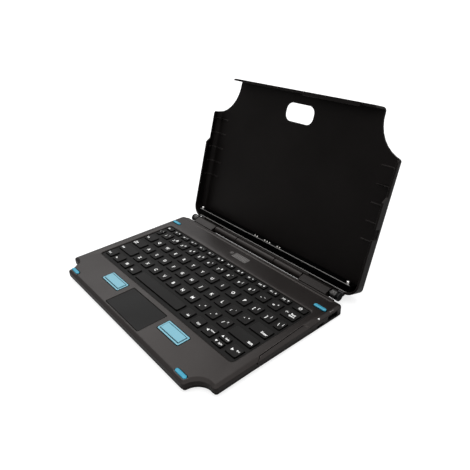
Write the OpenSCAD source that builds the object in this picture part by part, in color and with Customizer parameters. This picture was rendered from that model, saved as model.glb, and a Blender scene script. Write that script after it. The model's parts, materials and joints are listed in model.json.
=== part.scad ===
// Keyboard case for a ten-inch rugged tablet: a keyboard base and a hinged tablet cover.
// The origin is on the desk, under the middle of the keyboard deck. +X is to the right,
// +Y is to the back and +Z is up. The cover stands open at its resting angle.

/* [Keyboard base] */
// Width of the base across its sides
base_w = 260; // [258:1:264]
// Depth of the deck from the front edge to the rear ridge
deck_d = 163.2; // [162:0.2:166]
// Height of the deck above the desk
deck_top = 11.1; // [11:0.1:11.6]
// Thickness of the side walls of the base
base_wall = 2.2; // [1.8:0.1:2.4]
// Radius of the finger notch at each front corner
notch_r = 13.5; // [12:0.5:15]
// Height of the rubber feet
foot_h = 1.2; // [1:0.1:1.4]

/* [Keys] */
// Distance from one key to the next
key_pitch = 16.85; // [16.7:0.05:16.9]
// Gap between the keys of one row
key_gap = 4.8; // [4.4:0.1:5.4]
// Gap between one row of keys and the next
row_gap = 5.4; // [5:0.1:5.8]
// How far a key travels
key_travel = 1.5; // [1:0.1:1.5]

/* [Pointer] */
// Width of the trackpad
pad_w = 60.4; // [56:0.2:62]
// Depth of the trackpad
pad_d = 30.6; // [28:0.2:32]
// Width of each mouse button
button_w = 32.4; // [30:0.2:34]
// Depth of each mouse button
button_d = 13.4; // [12:0.2:14]
// How far a mouse button travels
button_travel = 0.8; // [0.5:0.1:0.8]

/* [Tablet cover] */
// Half of the width of the tablet cover
cover_half = 131; // [130:0.5:132]
// Distance from the hinge axis to the top of the cover
cover_top = 177.9; // [176:0.1:180]
// Angle by which the open cover leans back from upright
cover_lean = 17.2; // [14:0.2:18]
// Depth of the side walls above the cover's floor
side_wall_h = 13; // [12:0.5:14]
// Thickness of the cover's floor and walls
cover_wall = 2.2; // [2:0.1:2.4]
// Radius of the scooped top corners
scoop_r = 36.4; // [34:0.2:38]

/* [Hinge] */
// Radius of the hinge barrel
barrel_r = 4.5; // [4:0.1:4.6]
// Radius of the steel hinge pins
pin_r = 2; // [1.8:0.1:2.2]

/* [Hidden] */
// Running clearances, on the radius or on each side
pin_running_gap = 0.05;
pin_fixed_gap = 0.03;
key_side_gap = 0.35;

// Levels inside the base
foot_level = 0;
underside = foot_h;
floor_top = underside + 1.4;
board_top = floor_top + 0.8;
tray_top = board_top + 0.6;
dome_sheet_top = tray_top + 0.5;
dome_top = dome_sheet_top + 0.5;
frame_top = deck_top - 1.5;
seam_z = underside + 4.4;
roof_z = deck_top - 1.8;
edge_step = 1.2;
// The lower outer edge slopes from the first to the second of these places
lower_edge_y = [-60, 45];
lower_edge_z = [underside + 2.9, underside + 0.3];

// Finger relief on each side edge
relief_w = 5.6;
relief_step = 0.4;
relief_slope = 12;
relief_y = [-21, 39];

// Plan of the base
half_w = base_w / 2;
front_y = -deck_d / 2;
ridge_y = deck_d / 2;
back_y = ridge_y + 3.6;
// Ridge along the rear edge: its front and rear lines, its half length and its height
ridge_line = [ridge_y - 2.3, ridge_y + 3];
ridge_half = 121;
ridge_h = 0.7;
corner_r = 4;
rear_corner_r = 5;
notch_c = [half_w - 6.5, front_y + 2.1];

// Key well and the columns and rows of keys in it
well_half = 117.5;
well_y = [-39, 56.5];
well_r = 5;
keys_half = 117.1;
col_x = -114.6;
cap_w = key_pitch - key_gap;
cap_d = key_pitch - row_gap;
// Caps clear the domes by 0.3 mm when they are pressed
cap_h = deck_top - dome_top - key_travel - 0.3;
row_y = [for (i = [0:4]) -28.4 + key_pitch * i];
function_row_y = 51.4;
function_cap_d = 6.4;
function_pitch = 16.64;
function_row_x = -94.6;

// Pointer parts
pointer_x = 1.35;
pad_y = -60.9;
button_x = 54;
button_y = -53.9;
switch_top = board_top + 2.7;
bumper_front = [100, -76.4];
bumper_rear = [118.1, 66.1];
pad_post_r = 1.6;
pad_posts = [for (x = [-22, 24], y = [-72, -50]) [x, y]];
bumper_size = [14.6, 4.4];

// Sockets on the right side
usb_a = [half_w - 0.3, 70.5, floor_top + 3.05];
usb_a_size = [14, 13.1, 5.8];
usb_c = [half_w - 0.3, 53.2, floor_top + 1.5];
usb_c_size = [7.3, 8.94, 3];
// Light pipe of the status light
light_at = [half_w - 2.1, usb_c.y];
light_r = 0.9;

// Hinge line
hinge_y = 93.8;
hinge_z = 9.2;
housing_x = [72, 107.7];
housing_r = 4.6;
housing_wall = 0.9;
// Front upper corner of a hinge cap, in Y and Z
cap_front = [back_y + 0.05, deck_top + 0.3];
// Angle about the hinge line where the cap's flat top meets its round rear
cap_round_from = 94;
bracket_eye_r = 3.3;
// The bracket's foot lies on the floor, its riser stands in the back wall's opening and its arm
// runs above the housing's floor to the eye
bracket_foot_z = [floor_top + 0.95, floor_top + 2.1];
bracket_riser_y = [back_y - 3, back_y - 0.6];
bracket_arm_z = [hinge_z - housing_r + housing_wall + 0.2, hinge_z - 1.4];
bracket_screw_x = [81, 93];
bracket_screw_y = 73;
bracket_x = [75, 104.5];
bracket_foot_x = [76, 98];
knuckle_x = [109.5, 119];
knuckle_web_end = 116;
barrel_half = 70.5;
skirt_half = 109.3;
pin_x = [58, 118.6];

// Cover, in its own frame: x across, y up the cover from the hinge line and z from the
// floor towards the tablet
floor_depth = 20;
cover_foot = 1.5;
top_wall_h = 13.9;
low_wall_h = 8.2;
step_y = 97.5;
outer_r = 8;
foot_r = 14;
scoop_c = [135.5, 172];
scoop_edge_r = 4;
side_notch_y = [62, 72];
lip_x = [11, 80.6];
top_notch_end = 94.7;
top_scallop_x = [-86, -68, -41];
bar_half = 121.5;
bar_y = [2.7, 11.6];
bar_front = 11.4;
camera_x = [-20.6, 19.5];
camera_y = [145.6, 165];
guide_x = 117;
guide_r = 1.9;
guide_len = 3.4;
pin_line_z = 9.6;
pogo_x = [for (x = [-18.3, -14.5, -2, 2, 6, 18.1, 21.8]) x + 2];
pogo_block_x = [pogo_x[0] - 3.3, pogo_x[6] + 3.3];
dock_screw_x = [45, 95];
dock_screw_y = 7.2;
rib_y = [for (i = [0:4]) 56.2 + 17.9 * i];

// Colours
deck_colour = [0.24, 0.22, 0.22];
shell_colour = [0.09, 0.09, 0.09];
key_colour = [0.13, 0.13, 0.13];
blue_colour = [0.35, 0.72, 0.85];
steel_colour = [0.6, 0.6, 0.62];
brass_colour = [0.85, 0.7, 0.35];
board_colour = [0.1, 0.35, 0.2];
rubber_colour = [0.16, 0.16, 0.17];

// Keys with a node each: name, left and right edge of the key's cell, and its row. Row 5 is
// the function row, and half rows are the two short arrow keys.
SINGLE_KEYS = [
    ["key_escape", -keys_half, -101.8, 5],
    ["key_power", 97.4, keys_half, 5],
    ["key_backspace", 96.1, keys_half, 4],
    ["key_tab", -keys_half, -97.2, 3],
    ["key_backslash", 104.5, keys_half, 3],
    ["key_caps_lock", -keys_half, -93, 2],
    ["key_enter", 91.9, keys_half, 2],
    ["key_shift_left", -keys_half, -84.7, 1],
    ["key_shift_right", 83.5, keys_half, 1],
    ["key_ctrl_left", -keys_half, -100.2, 0],
    ["key_fn", -100.2, -83.4, 0],
    ["key_menu", -83.4, -66.5, 0],
    ["key_alt_left", -66.5, -49.6, 0],
    ["key_space", -49.6, 32.8, 0],
    ["key_alt_right", 32.8, 49.2, 0],
    ["key_ctrl_right", 49.2, 66.1, 0],
    ["key_left", 66.1, 83, 0],
    ["key_up", 83, 99.8, 0.5],
    ["key_down", 83, 99.8, -0.5],
    ["key_right", 99.8, keys_half, 0]
];

// Rows of letter keys that share a node: name, row, first column, number of keys
KEY_ROWS = [
    ["number_keys", 4, 1, 12],
    ["upper_letter_keys", 3, 1.5, 12],
    ["home_letter_keys", 2, 1.75, 11],
    ["lower_letter_keys", 1, 2.25, 10]
];
grave_cell = [-keys_half, -106.2];
// Half of the gap between the two short arrow keys
arrow_gap = 0.9;

// ---------------------------------------------------------------- shared shapes

// Points along an arc from angle a0 to angle a1
function arc(c, r, a0, a1, n) =
    [for (i = [0:n]) c + r * [cos(a0 + (a1 - a0) * i / n), sin(a0 + (a1 - a0) * i / n)]];

function reversed(p) = [for (i = [len(p) - 1:-1:0]) p[i]];

function mirrored(p) = [for (q = reversed(p)) [-q.x, q.y]];

// A corner cut by a hollow arc with centre c and radius r, between a front line at y and a
// side line at x, with both ends rounded to corner radius e. Inset moves the edge inwards.
function scooped_corner(c, r, x, y, e, inset) =
    let (
        c1 = [c.x - sqrt(pow(r + e, 2) - pow(y + e - c.y, 2)), y + e],
        c2 = [x - e, c.y + sqrt(pow(r + e, 2) - pow(x - e - c.x, 2))],
        a1 = atan2(c.y - c1.y, c.x - c1.x),
        a2 = atan2(c2.y - c.y, c2.x - c.x)
    )
    concat(
        arc(c1, e - inset, -90, a1, 4),
        arc(c, r + inset, a1 + 180, a2, 8),
        arc(c2, e - inset, a2 - 180, 0, 4)
    );

// Plan of the base, moved inwards by inset
module base_plan(inset) {
    right = concat(
        scooped_corner(notch_c, notch_r, half_w, front_y, corner_r, inset),
        arc([half_w - rear_corner_r, back_y - rear_corner_r], rear_corner_r - inset, 0, 90, 6)
    );
    polygon(concat(right, mirrored(right)));
}

module slab(z0, z1) {
    translate([0, 0, z0])
        linear_extrude(z1 - z0)
            children();
}

// A box given by its lowest and highest corners
module span_box(low, high) {
    translate(low)
        cube(high - low);
}

// A flat rectangle with round corners, between two corners
module round_rect(low, high, r) {
    translate(low + [0, r])
        square([high.x - low.x, high.y - low.y - 2 * r]);
    translate(low + [r, 0])
        square([high.x - low.x - 2 * r, high.y - low.y]);
    for (x = [low.x + r, high.x - r], y = [low.y + r, high.y - r])
        translate([x, y])
            circle(r, $fn = 32);
}

// A round bar along X from x0 to x1, on the hinge line
module hinge_bar(r, x0, x1) {
    translate([x0, hinge_y, hinge_z])
        rotate([0, 90, 0])
            cylinder(h = x1 - x0, r = r, $fn = 48);
}

// Children once as they are and once mirrored to the left
module both_sides() {
    children();
    mirror([1, 0, 0])
        children();
}

// ---------------------------------------------------------------- base covers

screw_places = [[122.3, -25], [122.3, 30], [88, -68], [58, 71]];
screw_head_r = 2.5;
screw_r = 1.1;
screw_seat = underside + 1.2;
post_top = underside + 2.4;

module screw_posts() {
    both_sides()
        for (p = screw_places)
            translate([p.x, p.y, underside])
                cylinder(h = post_top - underside, r = 3.6, $fn = 32);
}

module screw_holes() {
    both_sides()
        for (p = screw_places) {
            translate([p.x, p.y, underside - 1])
                cylinder(h = screw_seat - underside + 1, r = screw_head_r + 0.2, $fn = 32);
            translate([p.x, p.y, underside])
                cylinder(h = 4, r = screw_r + 0.2, $fn = 24);
        }
}

// Cross-section of a hinge housing, in Y and Z, shrunk by inset
module housing_section(inset) {
    translate([hinge_y, hinge_z])
        circle(housing_r - inset, $fn = 48);
    translate([ridge_y + 1, hinge_z - housing_r + inset])
        square([hinge_y - ridge_y - 1, 2 * (housing_r - inset)]);
}

module along_x(x0, x1) {
    translate([x0, 0, 0])
        rotate([90, 0, 90])
            linear_extrude(x1 - x0)
                children();
}

// The two ports cut through the right wall
module port_cuts() {
    span_box([half_w - 12, usb_a.y - 6.8, usb_a.z - 3.1], [half_w + 1, usb_a.y + 6.8, usb_a.z + 3.1]);
    span_box([half_w - 7, usb_c.y - 4.7, usb_c.z - 1.6], [half_w + 1, usb_c.y + 4.7, usb_c.z + 1.6]);
}

// What lies above the lower outer edge, which comes down from front to back
module above_lower_edge() {
    along_x(-half_w - 1, half_w + 1)
        polygon([
            [front_y - 1, lower_edge_z[0]], [lower_edge_y[0], lower_edge_z[0]],
            [lower_edge_y[1], lower_edge_z[1]], [back_y + 1, lower_edge_z[1]],
            [back_y + 1, seam_z + 1], [front_y - 1, seam_z + 1]
        ]);
}

module bottom_cover() {
    color(deck_colour)
    difference() {
        union() {
            difference() {
                union() {
                    slab(underside, seam_z) base_plan(edge_step);
                    intersection() {
                        slab(underside, seam_z) base_plan(0);
                        above_lower_edge();
                    }
                }
                slab(floor_top, seam_z + 1) base_plan(base_wall);
            }
            screw_posts();
            for (p = pad_posts)
                translate([p.x, p.y, underside])
                    cylinder(h = roof_z - 1 - underside, r = pad_post_r, $fn = 24);
            both_sides()
                span_box([bracket_foot_x[0], 64, underside], [bracket_foot_x[1], 82, floor_top + 0.9]);
            both_sides()
                difference() {
                    along_x(housing_x[0], housing_x[1])
                        intersection() {
                            housing_section(0);
                            translate([ridge_y, 0])
                                square([40, hinge_z]);
                        }
                    along_x(housing_x[0] + housing_wall, housing_x[1] - housing_wall)
                        housing_section(housing_wall);
                    hinge_bar(pin_r + 0.6, housing_x[0] - 1, housing_x[1] + 1);
                    slab(seam_z, hinge_z + 1)
                        translate([housing_x[0] - 1, ridge_y])
                            square([40, back_y - ridge_y + 0.05]);
                }
        }
        both_sides()
            span_box([bracket_x[0] - 0.3, back_y - base_wall - 1, floor_top + 0.9],
                     [bracket_x[1] + 0.3, back_y + 1, seam_z + 1]);
        both_sides()
            for (x = bracket_screw_x)
                translate([x, bracket_screw_y, underside + 0.5])
                    cylinder(h = 6, r = 1.05, $fn = 24);
        screw_holes();
        port_cuts();
    }
}

// Shallow sloping relief along the middle of each side edge, where the fingers lift the cover
module side_relief() {
    both_sides()
        translate([half_w - relief_w, 0, deck_top - relief_step])
            rotate([0, relief_slope, 0])
                span_box([0, relief_y[0], 0], [12, relief_y[1], 6]);
}

module deck_cover() {
    color(deck_colour)
    difference() {
        union() {
            difference() {
                union() {
                    slab(seam_z, deck_top) base_plan(edge_step);
                    slab(seam_z, deck_top - edge_step) base_plan(0);
                }
                slab(seam_z - 1, roof_z) base_plan(base_wall);
            }
            // rim round the key well and bosses for the case screws
            slab(frame_top - 2, deck_top)
                round_rect([-well_half - 1.6, well_y[0] - 1.6], [well_half + 1.6, well_y[1] + 1.6], well_r);
            both_sides()
                for (p = screw_places)
                    translate([p.x, p.y, post_top])
                        cylinder(h = roof_z - post_top + 0.5, r = 2.6, $fn = 32);
            // ridge along the rear edge
            slab(deck_top - 1.5, deck_top + ridge_h)
                round_rect([-ridge_half, ridge_line[0]], [ridge_half, ridge_line[1]], 2.6);
        }
        slab(frame_top - 3, deck_top + 1)
            round_rect([-well_half, well_y[0]], [well_half, well_y[1]], well_r - 1.6);
        span_box([pointer_x - pad_w / 2 - 0.3, pad_y - pad_d / 2 - 0.3, roof_z - 1],
                 [pointer_x + pad_w / 2 + 0.3, pad_y + pad_d / 2 + 0.3, deck_top + 1]);
        for (s = [-1, 1])
            span_box([pointer_x + s * button_x - button_w / 2 - key_side_gap,
                      button_y - button_d / 2 - key_side_gap, roof_z - 1],
                     [pointer_x + s * button_x + button_w / 2 + key_side_gap,
                      button_y + button_d / 2 + key_side_gap, deck_top + 1]);
        both_sides()
            for (p = [bumper_front, bumper_rear])
                slab(deck_top - 1.2, deck_top + 1)
                    translate(p)
                        round_rect(-bumper_size / 2 - [0.1, 0.1], bumper_size / 2 + [0.1, 0.1],
                                   bumper_size.y / 2);
        both_sides()
            for (p = screw_places)
                translate([p.x, p.y, post_top - 1])
                    cylinder(h = 5.2, r = screw_r + 0.05, $fn = 24);
        both_sides()
            span_box([bracket_x[0] - 0.3, back_y - base_wall - 1, seam_z - 1],
                     [bracket_x[1] + 0.3, back_y + 1, hinge_z]);
        translate([light_at.x, light_at.y, seam_z - 1])
            cylinder(h = 8, r = light_r + 0.05, $fn = 24);
        side_relief();
        port_cuts();
    }
}

// ---------------------------------------------------------------- keyboard

// Lowest and highest plan corners of a key that has its own node
function key_corners(k) =
    let (
        y = k[3] == 5 ? function_row_y : k[3] == 0.5 || k[3] == -0.5 ? row_y[0] : row_y[0] + key_pitch * k[3],
        d = k[3] == 5 ? function_cap_d : cap_d,
        lift = k[3] == 0.5 ? d / 2 + arrow_gap : 0,
        drop = k[3] == -0.5 ? d / 2 + arrow_gap : 0
    )
    [[k[1] + key_gap / 2, y - d / 2 + lift - drop / 5], [k[2] - key_gap / 2, y + d / 2 - drop + lift / 5]];

// Plan corners of every key in a shared row
function row_corners(r) =
    [for (i = [0:r[3] - 1])
        let (x = col_x + key_pitch * (r[2] + i), y = row_y[0] + key_pitch * r[1])
        [[x - cap_w / 2, y - cap_d / 2], [x + cap_w / 2, y + cap_d / 2]]];

grave_corners = key_corners(["", grave_cell[0], grave_cell[1], 4]);

function_corners =
    [for (i = [0:11])
        let (x = function_row_x + function_pitch * i, w = function_pitch - key_gap, d = function_cap_d)
        [[x - w / 2, function_row_y - d / 2], [x + w / 2, function_row_y + d / 2]]];

all_corners = concat(
    [for (k = SINGLE_KEYS) key_corners(k)],
    [for (r = KEY_ROWS) each row_corners(r)],
    [grave_corners],
    function_corners
);

// A key cap: a wide skirt and a slightly smaller top, both with clipped corners
module key_cap(c) {
    for (part = [[0, 0], [0.5, 1]]) {
        low = c[0] + part[0] * [1, 1];
        high = c[1] - part[0] * [1, 1];
        clip = 1;
        slab(deck_top - cap_h, deck_top - 0.8 * (1 - part[1]))
            polygon([
                [low.x + clip, low.y], [high.x - clip, low.y], [high.x, low.y + clip],
                [high.x, high.y - clip], [high.x - clip, high.y], [low.x + clip, high.y],
                [low.x, high.y - clip], [low.x, low.y + clip]
            ]);
    }
}

module keys(corners) {
    color(key_colour)
        for (c = corners)
            key_cap(c);
}

module key_frame() {
    color(shell_colour)
    difference() {
        slab(dome_sheet_top, frame_top)
            round_rect([-well_half + 0.2, well_y[0] + 0.2], [well_half - 0.2, well_y[1] - 0.2], 3.2);
        for (c = all_corners)
            span_box([c[0].x - key_side_gap, c[0].y - key_side_gap, dome_sheet_top - 1],
                     [c[1].x + key_side_gap, c[1].y + key_side_gap, frame_top + 1]);
    }
}

module key_tray() {
    color(steel_colour)
        span_box([-well_half, well_y[0], board_top], [well_half, well_y[1], tray_top]);
}

module dome_sheet() {
    color(rubber_colour) {
        span_box([-well_half + 1, well_y[0] + 1, tray_top], [well_half - 1, well_y[1] - 1, dome_sheet_top]);
        for (c = all_corners)
            translate([(c[0].x + c[1].x) / 2, (c[0].y + c[1].y) / 2, dome_sheet_top - 0.1])
                cylinder(h = dome_top - dome_sheet_top + 0.1, r = 2.4, $fn = 16);
    }
}

module keyboard_board() {
    color(board_colour)
        difference() {
            slab(floor_top, board_top)
                polygon([
                    [-76, front_y + 4], [76, front_y + 4], [76, well_y[0]], [116, well_y[0]],
                    [116, well_y[1]], [-116, well_y[1]], [-116, well_y[0]], [-76, well_y[0]]
                ]);
            for (p = pad_posts)
                translate([p.x, p.y, floor_top - 1])
                    cylinder(h = 3, r = pad_post_r + 0.2, $fn = 24);
        }
}

// ---------------------------------------------------------------- pointer parts

module trackpad_plate() {
    color([0.12, 0.12, 0.12])
        span_box([pointer_x - pad_w / 2, pad_y - pad_d / 2, roof_z],
                 [pointer_x + pad_w / 2, pad_y + pad_d / 2, deck_top - 0.4]);
}

module trackpad_board() {
    color(board_colour)
        span_box([pointer_x - pad_w / 2 - 1.5, pad_y - pad_d / 2 - 1.5, roof_z - 1],
                 [pointer_x + pad_w / 2 + 1.5, pad_y + pad_d / 2 + 1.5, roof_z]);
}

module button_switches() {
    for (s = [-1, 1])
        translate([pointer_x + s * button_x, button_y, board_top]) {
            color([0.15, 0.15, 0.15])
                slab(0, 1.9)
                    square([6, 6], center = true);
            color(steel_colour)
                translate([0, 0, 1.9])
                    cylinder(h = switch_top - board_top - 1.9, r = 1.6, $fn = 24);
        }
}

// A mouse button: a retaining flange under the deck, the cap and its raised top
module mouse_button(s) {
    color(blue_colour)
        translate([pointer_x + s * button_x, button_y, 0])
            for (layer = [[1, roof_z - 0.3], [0, deck_top + 0.3], [-1, deck_top + 0.9]])
                slab(switch_top + button_travel + 0.3, layer[1])
                    square([button_w + 2 * layer[0], button_d + 2 * layer[0]], center = true);
}

module bumper_pads() {
    color(blue_colour * 0.8)
        both_sides()
            for (p = [bumper_front, bumper_rear])
                slab(deck_top - 1.2, deck_top + 1.2)
                    translate(p)
                        round_rect(-bumper_size / 2, bumper_size / 2, bumper_size.y / 2 - 0.01);
}

module badge_plate() {
    color([0.3, 0.29, 0.29])
        span_box([-9.2, 65, deck_top], [13.4, 73.4, deck_top + 0.4]);
}

// ---------------------------------------------------------------- sockets

module usb_a_socket() {
    s = usb_a_size;
    translate([usb_a.x - s.x, usb_a.y, usb_a.z]) {
        color(steel_colour)
            difference() {
                span_box([0, -s.y / 2, -s.z / 2], [s.x, s.y / 2, s.z / 2]);
                span_box([1, -s.y / 2 + 0.3, -s.z / 2 + 0.34], [s.x + 1, s.y / 2 - 0.3, s.z / 2 - 0.34]);
            }
        color([0.12, 0.12, 0.12])
            span_box([1, -5.6, 0.3], [s.x - 1.2, 5.6, 2.1]);
    }
}

module usb_c_socket() {
    s = usb_c_size;
    translate([usb_c.x - s.x, usb_c.y, usb_c.z]) {
        color(steel_colour)
            difference() {
                along_x(0, s.x)
                    round_rect([-s.y / 2, -s.z / 2], [s.y / 2, s.z / 2], s.z / 2 - 0.01);
                along_x(0.8, s.x + 1)
                    round_rect([-s.y / 2 + 0.3, -s.z / 2 + 0.3], [s.y / 2 - 0.3, s.z / 2 - 0.3],
                               s.z / 2 - 0.32);
            }
        color([0.12, 0.12, 0.12])
            span_box([0.8, -3.3, -0.35], [s.x - 0.8, 3.3, 0.35]);
    }
}

module socket_board() {
    color(board_colour)
        slab(floor_top, board_top)
            polygon([[100, 58.5], [118, 58.5], [118, 48], [122.2, 48], [122.2, 62.5],
                     [115.5, 62.5], [115.5, 80], [100, 80]]);
}

module status_light() {
    color([0.95, 0.95, 0.95])
        translate([light_at.x, light_at.y, seam_z])
            cylinder(h = deck_top + 0.1 - seam_z, r = light_r, $fn = 24);
}

// ---------------------------------------------------------------- feet and fasteners

module rubber_feet() {
    color(rubber_colour)
        slab(foot_level, underside) {
            translate([-15, -4])
                square([30, 8]);
            for (x = [-1, 1]) {
                translate([x * 92 - 10, -58])
                    square([20, 7]);
                translate([x * 108 - 10, 72])
                    square([20, 7]);
            }
        }
}

module screw(head_r, head_h, length) {
    cylinder(h = head_h, r = head_r, $fn = 32);
    translate([0, 0, head_h])
        cylinder(h = length, r = screw_r, $fn = 24);
}

module case_screws() {
    color(steel_colour) {
        both_sides()
            for (p = screw_places)
                translate([p.x, p.y, screw_seat - 1])
                    screw(screw_head_r, 1, 5);
        both_sides()
            for (x = bracket_screw_x)
                translate([x, bracket_screw_y, floor_top + 3.2])
                    rotate([180, 0, 0]) {
                        cylinder(h = 1.1, r = 2.1, $fn = 32);
                        cylinder(h = 3.4, r = 1, $fn = 24);
                    }
    }
}

// ---------------------------------------------------------------- hinge

// Cross-section of a hinge cap above the hinge line, shrunk by inset and open in front and below
module cap_section(inset) {
    low = [cap_front.x, hinge_z] - [inset, inset];
    r = housing_r - inset;
    polygon(concat(
        [low, [low.x, cap_front.y - inset]],
        arc([hinge_y, hinge_z], r, cap_round_from, 0, 14),
        [[hinge_y + r, low.y]]
    ));
}

module hinge_cap() {
    color(deck_colour * 0.8)
        difference() {
            along_x(housing_x[0], housing_x[1])
                cap_section(0);
            along_x(housing_x[0] + housing_wall, housing_x[1] - housing_wall)
                cap_section(housing_wall);
            hinge_bar(pin_r + 0.6, housing_x[0] - 1, housing_x[1] + 1);
        }
}

module hinge_bracket() {
    color(steel_colour)
        difference() {
            union() {
                hinge_bar(bracket_eye_r, bracket_x[0], bracket_x[1]);
                span_box([bracket_x[0], bracket_riser_y[0], bracket_arm_z[0]],
                         [bracket_x[1], hinge_y, bracket_arm_z[1]]);
                span_box([bracket_x[0], bracket_riser_y[0], bracket_foot_z[0]],
                         [bracket_x[1], bracket_riser_y[1], bracket_arm_z[1]]);
                span_box([bracket_foot_x[0], 66, bracket_foot_z[0]],
                         [bracket_foot_x[1], bracket_riser_y[1], bracket_foot_z[1]]);
            }
            hinge_bar(pin_r + pin_running_gap, bracket_x[0] - 1, bracket_x[1] + 1);
            for (x = bracket_screw_x)
                translate([x, bracket_screw_y, floor_top])
                    cylinder(h = 4, r = 1.1, $fn = 24);
        }
}

module hinge_pins() {
    color(steel_colour)
        both_sides()
            hinge_bar(pin_r, pin_x[0], pin_x[1]);
}

// The cover's own frame, turned to its resting angle about the hinge line
module on_cover() {
    translate([0, hinge_y, hinge_z])
        rotate([90 - cover_lean, 0, 0])
            translate([0, 0, -floor_depth])
                children();
}

// Web that joins a hinge barrel to the dock bar, in the cover's frame
module hinge_web(x0, x1) {
    along_x(x0, x1)
        polygon([
            [-3.5, 20], [-0.5, 17], [0, 12], [bar_y[0], 10.5], [bar_y[0], 5], [-2, 8], [-4, 16]
        ]);
}

// Skirt along the dock bar's foot that closes the gap behind the hinge housings
module hinge_skirt() {
    along_x(-skirt_half, skirt_half)
        polygon([
            [bar_y[0], 10.5], [bar_y[0], 5], [-2.2, 7.2], [-3.6, 8.6], [-3.4, 10], [-0.4, 10.5]
        ]);
}

module hinge_barrel() {
    color(shell_colour * 1.5)
        difference() {
            union() {
                hinge_bar(barrel_r, -barrel_half, barrel_half);
                on_cover() {
                    hinge_web(-barrel_half, barrel_half);
                    hinge_skirt();
                }
            }
            both_sides()
                hinge_bar(pin_r + pin_fixed_gap, pin_x[0] - 0.5, barrel_half + 1);
            for (x = [-31.5, 31.5])
                difference() {
                    hinge_bar(barrel_r + 1, x - 1, x + 1);
                    hinge_bar(barrel_r - 0.8, x - 2, x + 2);
                    on_cover()
                        hinge_web(x - 2, x + 2);
                }
        }
}

module hinge_knuckles() {
    color(steel_colour)
        both_sides()
            difference() {
                union() {
                    hinge_bar(barrel_r, knuckle_x[0], knuckle_x[1]);
                    on_cover()
                        hinge_web(knuckle_x[0], knuckle_web_end);
                }
                hinge_bar(pin_r + pin_fixed_gap, knuckle_x[0] - 1, knuckle_x[1] + 1);
            }
}

// ---------------------------------------------------------------- tablet cover

// Right half of the cover's cross-section, in X and Z. Inset shrinks it.
function half_section(inset, top) =
    concat(
        [[0, -cover_wall + inset]],
        arc([cover_half - outer_r, outer_r - cover_wall], outer_r - inset, -90, 0, 10),
        [[cover_half - inset, top]]
    );

module cover_section(inset, top) {
    right = half_section(inset, top);
    polygon(concat(right, mirrored([for (i = [1:len(right) - 1]) right[i]])));
}

// An extrusion up the cover from y0 to y1
module up_cover(y0, y1) {
    translate([0, y1, 0])
        rotate([90, 0, 0])
            linear_extrude(y1 - y0)
                children();
}

// Plan of the cover with its scooped top corners and rounded foot
module cover_plan() {
    top = scooped_corner([scoop_c.x, -scoop_c.y], scoop_r, cover_half, -cover_top, scoop_edge_r, 0);
    right = concat(
        arc([cover_half - foot_r, cover_foot + foot_r], foot_r, -90, 0, 8),
        [for (p = reversed(top)) [p.x, -p.y]]
    );
    polygon(concat(right, mirrored(right)));
}

// Plan of the space between the walls, open at the foot and at the top, with a gap to the walls
module pocket_plan(gap) {
    right = concat(
        [[cover_half - foot_r, cover_foot - 2]],
        arc([cover_half - foot_r, cover_foot + foot_r], foot_r - cover_wall - gap, -90, 0, 8),
        [[cover_half - cover_wall - gap, cover_top - cover_wall]]
    );
    polygon(concat(right, mirrored(right)));
}

module tablet_shell() {
    color(shell_colour)
    on_cover() {
        difference() {
            intersection() {
                up_cover(cover_foot, cover_top) cover_section(0, top_wall_h + 1);
                slab(-cover_wall, top_wall_h + 1) cover_plan();
            }
            intersection() {
                up_cover(cover_foot - 1, cover_top - cover_wall) cover_section(cover_wall, top_wall_h + 2);
                slab(-cover_wall, top_wall_h + 2) pocket_plan(0);
            }
            // rims of the side walls, low near the top corners
            span_box([-150, -1, side_wall_h], [150, cover_top - 12, 40]);
            both_sides()
                low_rim_cut();
            // rim of the top wall, left of the lip and at the notch right of it
            span_box([-150, cover_top - 12.5, top_wall_h], [lip_x[0], cover_top + 1, 40]);
            span_box([lip_x[1], cover_top - 12.5, top_wall_h - 1.4], [top_notch_end, cover_top + 1, 40]);
            span_box([top_notch_end - 0.1, cover_top - 12.5, top_wall_h], [150, cover_top + 1, 40]);
            for (x = top_scallop_x)
                span_box([x - 3, cover_top - 12.5, top_wall_h - 1], [x + 3, cover_top + 1, 40]);
            // button access in the right wall
            span_box([120, side_notch_y[0], 6.5], [140, side_notch_y[1], 40]);
            slab(-cover_wall - 1, 5)
                round_rect([camera_x[0], camera_y[0]], [camera_x[1], camera_y[1]], 8);
            dock_screw_holes();
        }
        // retaining lip over the tablet's top edge
        span_box([lip_x[0], cover_top - 4, top_wall_h - 0.8], [lip_x[1], cover_top - 1, top_wall_h + 1]);
        // low ribs where the floor turns up into the side walls
        for (y = rib_y)
            difference() {
                up_cover(y - 0.6, y + 0.6) cover_section(cover_wall - 0.2, low_wall_h - 0.4);
                up_cover(y - 1, y + 1) cover_section(cover_wall + 0.7, low_wall_h + 1);
                span_box([-111, y - 2, -5], [111, y + 2, 20]);
            }
    }
}

// Cuts the side wall down to its low rim, with a sloping step
module low_rim_cut() {
    translate([110, 0, 0])
        along_x(0, 40)
            polygon([
                [step_y, 40], [step_y, side_wall_h], [step_y + 5, low_wall_h],
                [cover_top - 12, low_wall_h], [cover_top - 12, 40]
            ]);
}

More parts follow.
